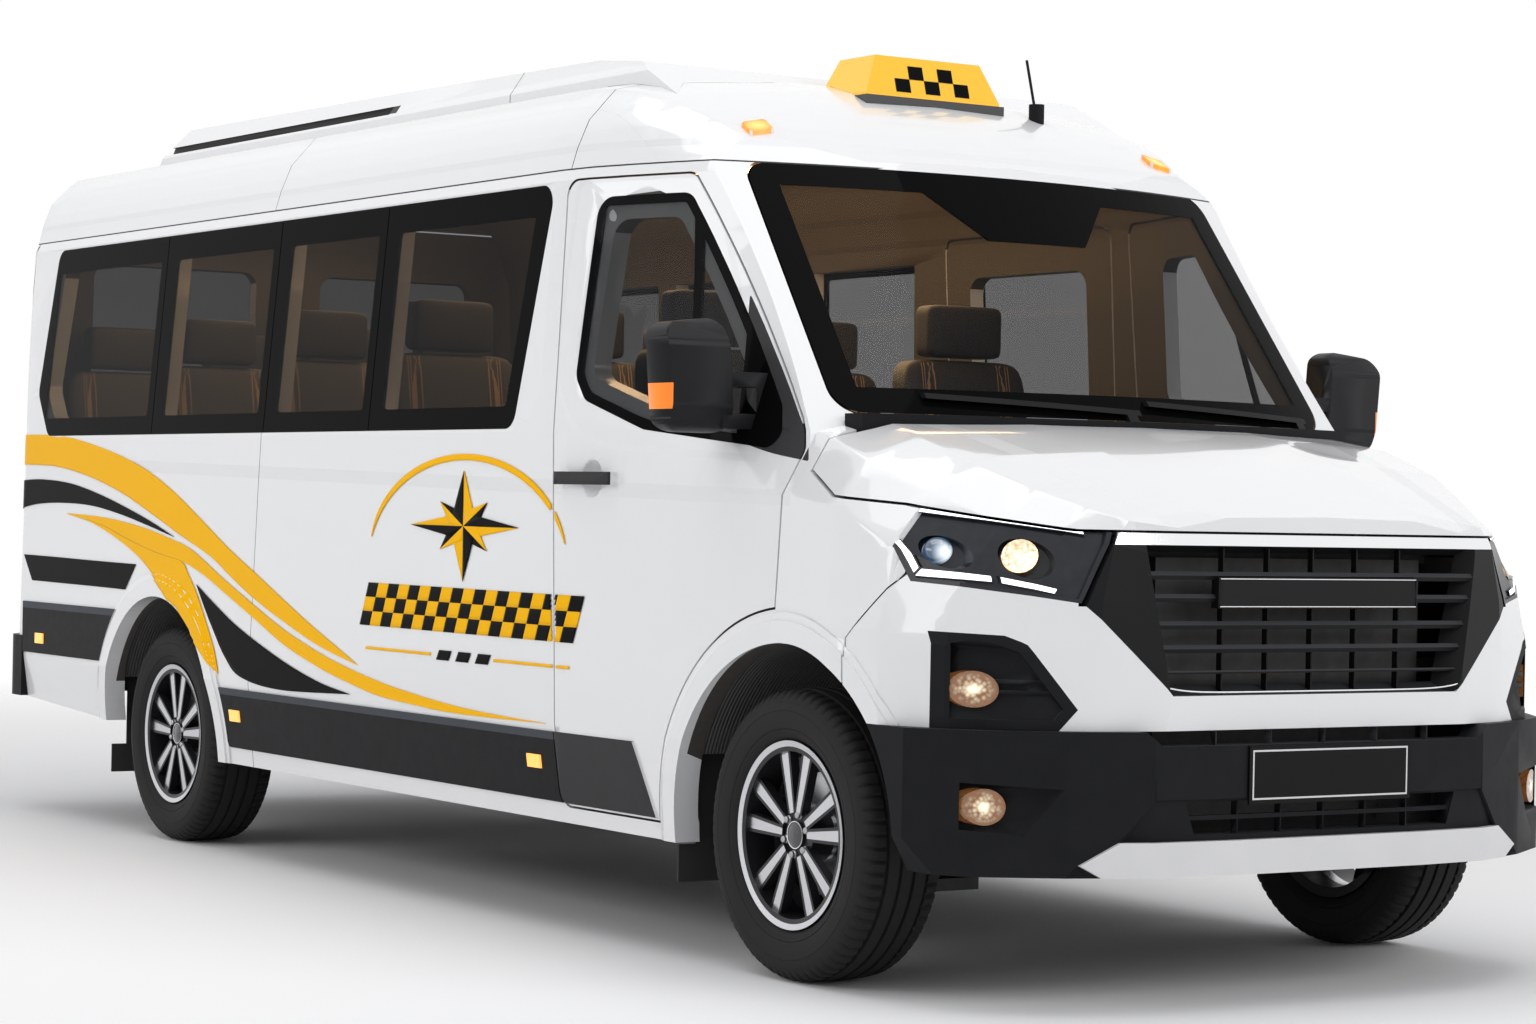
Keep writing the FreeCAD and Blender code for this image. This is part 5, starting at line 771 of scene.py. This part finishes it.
# Roof sign: a yellow moulded shell, lit from inside, on a black foot, with five black
# squares on each long face.
sign_ahead, sign_foot, square_width, square_rise, square_steps = -0.93, 2.3, 0.05, 0.038, 3
sign = Finish("sign_shell")
foot_mask = sign.height < 2284
sign_tone = sign.mix(sign.noise(6), (0.98, 0.56, 0.004), (0.95, 0.53, 0.004))
sign.surface(Base_Color=sign.mix(foot_mask, sign_tone, pod_black), Coat_Weight=0.5,
             Roughness=sign.between(foot_mask, 0.16, 0.45), Emission_Strength=0.1,
             Emission_Color=sign.mix(foot_mask, (1.0, 0.5, 0.004), (0, 0, 0)),
             Normal=sign.bump(sign.noise(240) * 0.00003))
give(sign, "roof_sign")
sign_skin = skin_of("roof_sign")
for word, toward in (("front", -1), ("rear", 1)):
    squares = []
    for column in range(5):
        left, foot = square_width * (column - 2.5), sign_foot + square_rise * (column % 2)
        grid = [[(left + square_width * i / square_steps, foot + square_rise * j / square_steps)
                 for j in range(square_steps + 1)] for i in range(square_steps + 1)]
        squares.append(laid(grid, sign_skin, lambda p: Vector((axle + sign_ahead - toward * 0.5, *p)),
                            Vector((toward, 0, 0)), 0.001, toward > 0))
    made("sign_checks_" + word, *gathered(squares), black_film, "root", "dark_plastic")

# Headlamps: dark bowls behind the body's edge, each with three white light bars that glow, a
# projector with a glass dome and a faceted reflector lit warm.
bar_outlines = ([(648, 1099), (648, 1118), (965, 1178), (965, 1157)],
                [(934, 1016), (955, 1130), (975, 1133), (946, 996)],
                [(834, 986), (834, 1003), (934, 1016), (946, 996)],
                [(726, 962), (718, 976), (822, 1002), (822, 984)])
bowl = Finish("headlamp_bowl")
bars = None
for bar_outline in bar_outlines:
    inside = bowl.outline(bar_outline, 1.5, bowl.out) > 2.2
    bars = inside if bars is None else bars | inside
bars = bars * (bowl.facing()[0] > 0.2)
bowl_tone = bowl.mix(bowl.noise(30), (0.012, 0.013, 0.016), (0.03, 0.033, 0.04))
bowl.surface(Base_Color=bowl.mix(bars, bowl_tone, (0.85, 0.9, 0.95)), Roughness=0.18, Specular_IOR_Level=0.3,
             Emission_Color=bowl.mix(bars, (0, 0, 0), (0.93, 0.97, 1.0)), Emission_Strength=1.6,
             Normal=bowl.bump(bowl.noise(120) * 0.0001))
give(bowl, "headlamps")


def lathe(profile, origin, out_way, steps, turned_radius=lambda step, radius, offset: radius):
    """Points and faces of a turned form: (radius, offset) pairs turned about an axis."""
    first_way = across_way(out_way)
    second_way = out_way.cross(first_way)
    vertices, faces = [], []
    for step in range(steps):
        angle = 2 * math.pi * step / steps
        spoke_way = first_way * math.cos(angle) + second_way * math.sin(angle)
        for radius, offset in profile:
            vertices.append(origin + spoke_way * turned_radius(step, radius, offset) + out_way * offset)
    rows = len(profile)
    for step in range(steps):
        here, there = step * rows, (step + 1) % steps * rows
        faces += [[here + row, there + row, there + row + 1, here + row + 1] for row in range(rows - 1)]
    return vertices, faces


projector_out, projector_height, reflector_out, reflector_height = 884, 1053, 760, 1042
dome_profile = [(0.037, 0), (0.036, 0.006), (0.032, 0.008), (0.0315, 0.012), (0.028, 0.019),
                (0.021, 0.0255), (0.012, 0.0295), (0.0005, 0.031)]
reflector_profile = [(0.043, 0.013), (0.039, 0.009), (0.031, 0.0055), (0.02, 0.0028), (0.01, 0.0014),
                     (0.0005, 0.001)]
dome = Finish("projector_glass")
from_projector = dome.away(dome.out - projector_out, dome.height - projector_height)
dome_tone = dome.mix(from_projector.rising(8, 26), (0.3, 0.36, 0.42), (0.03, 0.035, 0.042))
dome_glow = dome.mix(from_projector.rising(3, 30), (0.85, 0.94, 1.0), (0.02, 0.05, 0.1))
dome.surface(Base_Color=dome_tone, Roughness=0.04, Coat_Weight=1.0, Emission_Color=dome_glow,
             Emission_Strength=1.3, Normal=dome.bump(dome.noise(60) * 0.00005))
warm_bowl = Finish("warm_reflector")
bowl_facets = warm_bowl.cells(110)
from_reflector = warm_bowl.away(warm_bowl.out - reflector_out, warm_bowl.height - reflector_height)
edge_glow = warm_bowl.mix(bowl_facets, (1.0, 0.62, 0.25), (0.3, 0.1, 0.02))
warm_glow = warm_bowl.mix(from_reflector.rising(8, 30), (1.0, 0.9, 0.68), edge_glow)
warm_bowl.surface(Base_Color=warm_bowl.mix(bowl_facets, (0.95, 0.9, 0.82), (0.6, 0.35, 0.15)),
                  Metallic=0.9, Roughness=0.15, Emission_Color=warm_glow, Emission_Strength=0.7,
                  Normal=warm_bowl.bump(bowl_facets * 0.002))
lamp_skin = skin_of("headlamps")
for side, word in sides:
    for name, out, up, profile, finish in (
            ("projector", projector_out, projector_height, dome_profile, dome),
            ("reflector", reflector_out, reflector_height, reflector_profile, warm_bowl)):
        start = Vector((3.2, side * out / 1000, up / 1000))
        seat, out_way = lamp_skin.ray_cast(start, Vector((-1, 0, 0)), 1)[:2]
        lens = lathe(profile, seat + out_way * 0.001, out_way, 48)
        made(name + "_" + word, *lens, finish, "root", "lamp_lens")

# Other lamps: clear or coloured moulded lenses over bright reflectors; those that were lit in
# the street glow.
red = Finish("red_lens")
red_ribs = red.ribs("Z", 26)
red_tone = red.mix(red_ribs, (0.36, 0.006, 0.008), (0.52, 0.012, 0.012))
pale_bar = red.height.within(1000, 1220) * (red.out > 960)
red.surface(Base_Color=red.mix(pale_bar, red_tone, (0.8, 0.6, 0.58)), Roughness=0.08, Coat_Weight=1.0,
            Emission_Color=(0.5, 0.01, 0.01), Emission_Strength=0.2, Normal=red.bump(red_ribs * 0.0004))
give(red, "tail_lamps")
amber = Finish("amber_lens")
amber_ribs = amber.ribs("X", 90)
along, aside = (amber.station + 664) / 30, (amber.out - 677) / 46
on_roof = amber.height > 2000
off_pill = ((along * along + aside * aside) > 1) * on_roof
lit = 1 - (along * along + aside * aside).rising(0.0, 0.7) * on_roof
amber_tone = amber.mix(amber_ribs, (1.0, 0.22, 0.005), (1.0, 0.32, 0.02))
amber_glow = amber.mix(lit, (0.8, 0.16, 0.0), (1.0, 0.6, 0.16))
amber.surface(Base_Color=amber.mix(off_pill, amber_tone, white), Roughness=0.12,
              Emission_Color=amber.mix(off_pill, amber_glow, (0, 0, 0)), Emission_Strength=0.9,
              Normal=amber.bump(amber_ribs * 0.0004))
give(amber, "marker_lamps")
fog_radius, fog_spots = 42, ((880, 742), (873, 475))
glow = Finish("fog_lamp_lens")
upper_fog, lower_fog = (glow.away(glow.out - out, glow.height - up) / fog_radius for out, up in fog_spots)
from_fog = upper_fog & lower_fog
fog_facets = glow.cells(95)
fog_tone = glow.node("ShaderNodeValToRGB", {"stops": ((0.12, (1, 0.88, 0.62)), (0.93, (0.09, 0.035, 0.01)))},
                     [from_fog])
facet_mask = glow.node("ShaderNodeClamp", {}, [fog_facets * from_fog.rising(0.1, 0.45) * 1.5])
fog_tone = glow.mix(facet_mask, fog_tone, (0.16, 0.06, 0.015))
glow.surface(Base_Color=fog_tone, Roughness=0.08, Coat_Weight=1.0, Emission_Color=fog_tone,
             Emission_Strength=0.75, Normal=glow.bump(fog_facets * 0.0015))
give(glow, "fog_lamps")

# Number plate: pressed aluminium, black and blank, with a fine white border line.
plate = Finish("blank_plate")
border = ((243 - plate.out) & (56 - abs(plate.height - 547))).near(0, 2.2)
plate.surface(Base_Color=plate.mix(border, (0.005, 0.005, 0.0055), (0.7, 0.7, 0.7)), Roughness=0.3,
              Specular_IOR_Level=0.12, Normal=plate.bump(border * 0.0008))
give(plate, "number_plate")

# Mirrors: black shells on two arms, with a pane of mirror glass in the rear face and an amber
# repeater lens round the outer corner.
shell = Finish("mirror_shell")
rearward = shell.facing()[0] < -0.55
mirror_pane = rearward * shell.out.within(1012, 1166) * shell.height.within(1350, 1600)
repeater = shell.height.within(1386, 1450) * (shell.out > 1166) * (1 - mirror_pane)
shell_tone = shell.mix(shell.noise(14), (0.008, 0.0085, 0.0095), (0.014, 0.0145, 0.016))
shell_tone = shell.mix(mirror_pane, shell_tone, (0.8, 0.82, 0.84))
shell_grain = shell.cells(grain_scale)
shell.surface(Base_Color=shell.mix(repeater, shell_tone, (0.9, 0.2, 0.0)),
              Metallic=mirror_pane, Specular_IOR_Level=0.18,
              Roughness=shell.between(mirror_pane, 0.4, 0.03), Coat_Weight=repeater,
              Emission_Color=shell.mix(repeater, (0, 0, 0), (1.0, 0.24, 0.0)),
              Emission_Strength=0.4,
              Normal=shell.bump(shell_grain * (1 - mirror_pane) * 0.00005))
pressed(shell, "mirror_right", "mirror_left", crease=40)

# Tyres: moulded rubber with a squared shoulder, four grooves round the tread and notched
# shoulder blocks, on a plain sidewall with fine rings.
wheelbase, hub_height, tyre_out = 3.7, 0.356, 0.872
wheels = [(end + "_" + word, side, station) for end, station in (("front", 0.0), ("rear", -wheelbase))
          for side, word in sides]
pitches, pitch_steps, notch_depth = 72, 4, 0.0065
tyre_half = [(0.2158, 0.0795), (0.2294, 0.0915), (0.234, 0.1), (0.242, 0.106), (0.256, 0.111),
             (0.2575, 0.1098), (0.259, 0.1118), (0.27, 0.115), (0.286, 0.1165), (0.3, 0.117),
             (0.3015, 0.1158), (0.303, 0.1168), (0.315, 0.1155), (0.328, 0.112), (0.338, 0.107),
             (0.3455, 0.1), (0.3505, 0.092), (0.353, 0.08), (0.3542, 0.065), (0.3462, 0.064),
             (0.3462, 0.055), (0.3548, 0.054), (0.3556, 0.025), (0.3476, 0.024), (0.3476, 0.015),
             (0.3558, 0.014)]
tyre_profile = [(radius, -offset) for radius, offset in tyre_half] + tyre_half[::-1]


def tread_notch(step, radius, offset):
    """Shoulder notches once in each pitch, cut down from the edge of the tread."""
    notched = step % pitch_steps == 0 and abs(offset) > 0.0645 and radius > 0.334
    return radius - notch_depth if notched else radius


def along_from_hub(finish):
    """How far along the vehicle a point lies from its wheel's axle, in millimetres."""
    half = wheelbase * 500
    return abs(finish.station + half) - half


def from_hub(finish):
    return finish.away(along_from_hub(finish), finish.height - hub_height * 1000)


tyre_rubber = Finish("tyre_rubber")
dust = tyre_rubber.noise(24, 5)
tyre_reach = from_hub(tyre_rubber)
sidewall_rings = (tyre_reach.near(248, 0.8) | tyre_reach.near(322, 0.8)) * 0.0008
tyre_rubber.surface(Base_Color=tyre_rubber.mix(dust, (0.01, 0.01, 0.0105), (0.02, 0.0197, 0.0193)),
                    Roughness=tyre_rubber.between(dust, 0.6, 0.82), Specular_IOR_Level=0.2,
                    Normal=tyre_rubber.bump(tyre_rubber.noise(700) * 0.00008 + sidewall_rings))
for word, side, station in wheels:
    middle = Vector((axle + station, side * tyre_out, hub_height))
    turned = lathe(tyre_profile, middle, Vector((0, side, 0)), pitches * pitch_steps, tread_notch)
    tyre = made("tyre_tread_" + word, *turned, tyre_rubber, "wheel_" + word, "tyre", 28)
    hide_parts("tyre_" + word)

# Wheels: cast alloy with bright machined spoke faces and lip over dark pockets, a steel brake
# disc behind, six nuts and a plain cap.
spoke_pairs, spoke_half_angle, nuts = 5, 14, 6
hub_out, nut_circle, nut_turn = 0.9503, 0.05, 0.3
alloy = Finish("machined_alloy")
rim_reach = from_hub(alloy)
facing_out = abs(alloy.facing()[1]) > 0.8
turn = alloy.node("ShaderNodeMath", {"operation": "ARCTAN2"},
                  [(hub_height * 1000 - alloy.height) * alloy.side(), along_from_hub(alloy)])
fold = alloy.node("ShaderNodeMath", {"operation": "PINGPONG"},
                  [turn - math.radians(90), math.pi / spoke_pairs])
off_spoke = abs(fold - math.radians(spoke_half_angle)) * rim_reach
on_spoke = (off_spoke < (rim_reach - 54) * 0.042 + 8) * (rim_reach < 203)
machined = facing_out * (alloy.out > 958) * (rim_reach > 40) * (on_spoke | (rim_reach > 214.5))
brake_disc = alloy.out.within(850, 886)
bare_metal = machined | brake_disc
lathe_marks = alloy.node("ShaderNodeMath", {"operation": "SINE"}, [rim_reach * 4])
alloy.surface(Base_Color=alloy.mix(bare_metal, (0.012, 0.0125, 0.014), (0.6, 0.61, 0.63)),
              Metallic=bare_metal, Roughness=alloy.between(bare_metal, 0.32, 0.26),
              Specular_IOR_Level=0.35, Normal=alloy.bump(lathe_marks * machined * 0.00002))
give(alloy, *["rim_" + word for word, side, station in wheels])
nut_steel = plain("nut_steel", (0.5, 0.5, 0.51), (0.32, 0.32, 0.33), (90,), Metallic=0.9, Roughness=0.3)
cap_enamel = plain("cap_enamel", (0.014, 0.015, 0.017), (0.02, 0.021, 0.023), (20,), Roughness=0.22,
                   Coat_Weight=0.6)
nut_profile = [(0.0105, 0), (0.0105, 0.004), (0.0088, 0.005), (0.0086, 0.011), (0.0066, 0.0132),
               (0.0003, 0.0135)]
cap_profile = [(0.0335, 0), (0.0345, 0.0075), (0.0335, 0.0085), (0.031, 0.0072), (0.029, 0.0078),
               (0.015, 0.0108), (0.0003, 0.0115)]
ring_profile = [(0.0342, 0.007), (0.0338, 0.0092), (0.0318, 0.0088), (0.0316, 0.0068)]
for word, side, station in wheels:
    out_way = Vector((0, side, 0))
    hub_middle = Vector((axle + station, side * hub_out, hub_height))
    turned_nuts = []
    for nut in range(nuts):
        angle = 2 * math.pi * nut / nuts + nut_turn
        spot = hub_middle + Vector((nut_circle * math.cos(angle), 0, nut_circle * math.sin(angle)))
        turned_nuts.append(lathe(nut_profile, spot, out_way, 12))
    body = "wheel_" + word
    made("wheel_nuts_" + word, *gathered(turned_nuts), nut_steel, body, "alloy", 25)
    made("hub_cap_" + word, *lathe(cap_profile, hub_middle, out_way, 64), cap_enamel, body, "alloy")
    made("cap_ring_" + word, *lathe(ring_profile, hub_middle, out_way, 64), chrome, body, "silver_trim")

# Underbody: chassis black over steel, and grained flaps.
steel = Finish("chassis_black")
steel.surface(Base_Color=steel.mix(steel.noise(18, 5), (0.014, 0.014, 0.015), (0.04, 0.037, 0.034)),
              Roughness=steel.between(steel.noise(40), 0.5, 0.75),
              Normal=steel.bump(steel.noise(90) * 0.0002))
give(steel, "chassis_frame", "engine", "front_suspension", "rear_axle", "knuckle_right", "knuckle_left",
     "front_carrier")
give(plain("flap_rubber", (0.012, 0.012, 0.013), (0.028, 0.027, 0.025), (12, 4),
           lambda finish: finish.cells(400) * 0.0002, Roughness=0.75), "mud_flaps")

# Cabin: a grey ribbed floor, a grained dashboard, a leather-grained steering wheel and hard
# shells under the seats.
give(plain("ribbed_floor", (0.05, 0.05, 0.052), (0.09, 0.088, 0.085), (9, 4),
           lambda finish: finish.ribs("Y", 30) * 0.0015, Roughness=0.7), "floor_pan")
give(plain("grained_trim", (0.02, 0.02, 0.022), (0.035, 0.034, 0.034), (10,),
           lambda finish: finish.cells(600) * 0.0001, Roughness=0.6),
     "dashboard", "steering_wheel", "seat_bases")

# Seats: foam under dark leather, each a cushion, a back and a headrest with rounded, crowned
# faces. Seams part the panels, sewn with tan thread.
pad_cells, squareness = 18, 9
crown, seam_depth, seam_width, cover_drop = 0.1, 0.14, 0.05, 0.07
seam_share, back_way, back_half = 0.62, Vector((-0.1, 0, 0.6)), 0.045
leather = Finish("dark_leather")
sewn = leather.parts(leather.node("ShaderNodeAttribute", {"attribute_name": "sewing"}, {}, "Vector"))
wrinkles = leather.noise(55, 6)
thread = (sewn[0].near(0.5, 0.07) | sewn[0].near(0.9, 0.07)) * (sewn[2] > 0.5)
hide = leather.mix(wrinkles, (0.026, 0.024, 0.023), (0.045, 0.041, 0.038))
leather.surface(Base_Color=leather.mix(thread, hide, (0.42, 0.26, 0.12)),
                Roughness=leather.between(wrinkles, 0.4, 0.56),
                Normal=leather.bump(leather.cells(420) * 0.00025 + wrinkles * 0.001))


def pad(middle, deep, wide, tall, seams):
    """A stuffed block between three half axes. The face toward +deep is crowned and seamed. With
    each point goes its place on the seams: how far off it is, how high up, how far in front."""
    vertices, faces, sewing = [], [], []
    seen = {}
    for axis in range(3):
        for end in (-1, 1):
            cell = []
            for i in range(pad_cells + 1):
                for j in range(pad_cells + 1):
                    spot = [0, 0, 0]
                    spot[axis] = end
                    spot[(axis + 1) % 3] = 2 * i / pad_cells - 1
                    spot[(axis + 2) % 3] = 2 * j / pad_cells - 1
                    key = tuple(round(value, 5) for value in spot)
                    if key not in seen:
                        seen[key] = len(vertices)
                        size = sum(abs(value) ** squareness for value in spot) ** (1 / squareness)
                        a, b, c = (value / size for value in spot)
                        front = max(a, 0) ** 4
                        sunk = sum(math.exp(-((abs(b) - place) / seam_width) ** 2) for place in seams)
                        swell = crown * (1 - b * b) * (1 - c * c) - seam_depth * sunk * (1 - abs(c) ** 8)
                        a += front * (swell - cover_drop)
                        vertices.append(middle + deep * a + wide * b + tall * c)
                        off_seam = min((abs(abs(b) - place) for place in seams), default=1)
                        sewing.append((min(off_seam / 0.1, 1.5), abs(c), front))
                    cell.append(seen[key])
            for i in range(pad_cells):
                for j in range(pad_cells):
                    first = i * (pad_cells + 1) + j
                    across = first + pad_cells + 1
                    face = [cell[first], cell[across], cell[across + 1], cell[first + 1]]
                    faces.append(face if end > 0 else face[::-1])
    return vertices, faces, sewing


cushion_mesh = nodes["seat_cushions"].data
spots = [tuple(round(value, 5) for value in vertex.co) for vertex in cushion_mesh.vertices]
joined_to = {spot: spot for spot in spots}


def root_of(spot):
    """The spot that stands for the whole block that a corner belongs to."""
    while joined_to[spot] != spot:
        joined_to[spot] = joined_to[joined_to[spot]]
        spot = joined_to[spot]
    return spot


for edge in cushion_mesh.edges:
    first, second = (root_of(spots[index]) for index in edge.vertices)
    joined_to[first] = second
blocks = {}
for spot in joined_to:
    blocks.setdefault(root_of(spot), []).append(spot)
pads = []
for block in blocks.values():
    low = [min(corner[axis] for corner in block) for axis in range(3)]
    high = [max(corner[axis] for corner in block) for axis in range(3)]
    middle = Vector([(a + b) / 2 for a, b in zip(low, high)])
    half_deep, half_wide, half_tall = ((b - a) / 2 for a, b in zip(low, high))
    wide = Vector((0, half_wide, 0))
    if half_tall > 0.2:
        tall = back_way * (half_tall / back_way.z)
        pads.append(pad(middle, Vector((back_half, 0, 0)), wide, tall, (seam_share,)))
    elif half_tall > 0.07:
        pads.append(pad(middle, Vector((half_deep, 0, 0)), wide, Vector((0, 0, half_tall - 0.008)), ()))
    else:
        pads.append(pad(middle, Vector((0, 0, half_tall)), -wide, Vector((half_deep, 0, 0)), (seam_share,)))
vertices, faces = gathered((found, cells) for found, cells, sewing in pads)
seats = made("seat_pads", vertices, faces, leather, "root", "seat_leather", 60)
stored = seats.data.attributes.new("sewing", "FLOAT_VECTOR", "POINT")
stitches = [spot for found, cells, sewing in pads for spot in sewing]
stored.data.foreach_set("vector", [value for spot in stitches for value in spot])
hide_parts("seat_cushions")

# Ceiling lights: warm strips let into the headlining.
warm = Finish("warm_strip")
warm.surface(Base_Color=(1.0, 0.75, 0.4), Emission_Strength=9.0, Roughness=0.5,
             Emission_Color=warm.mix(warm.noise(3), (1.0, 0.6, 0.24), (1.0, 0.66, 0.28)))
give(warm, "ceiling_lights")
for name, station in (("cabin_glow_front", -1.9), ("cabin_glow_rear", -3.8)):
    softbox(name, (axle + station, 0, 2.08), (axle + station, 0, 0), (1.8, 1.2), 30, (1, 0.66, 0.36))
    softbox(name + "_up", (axle + station, 0, 1.75), (axle + station, 0, 4), (1.8, 1.0), 22, (1, 0.55, 0.22))
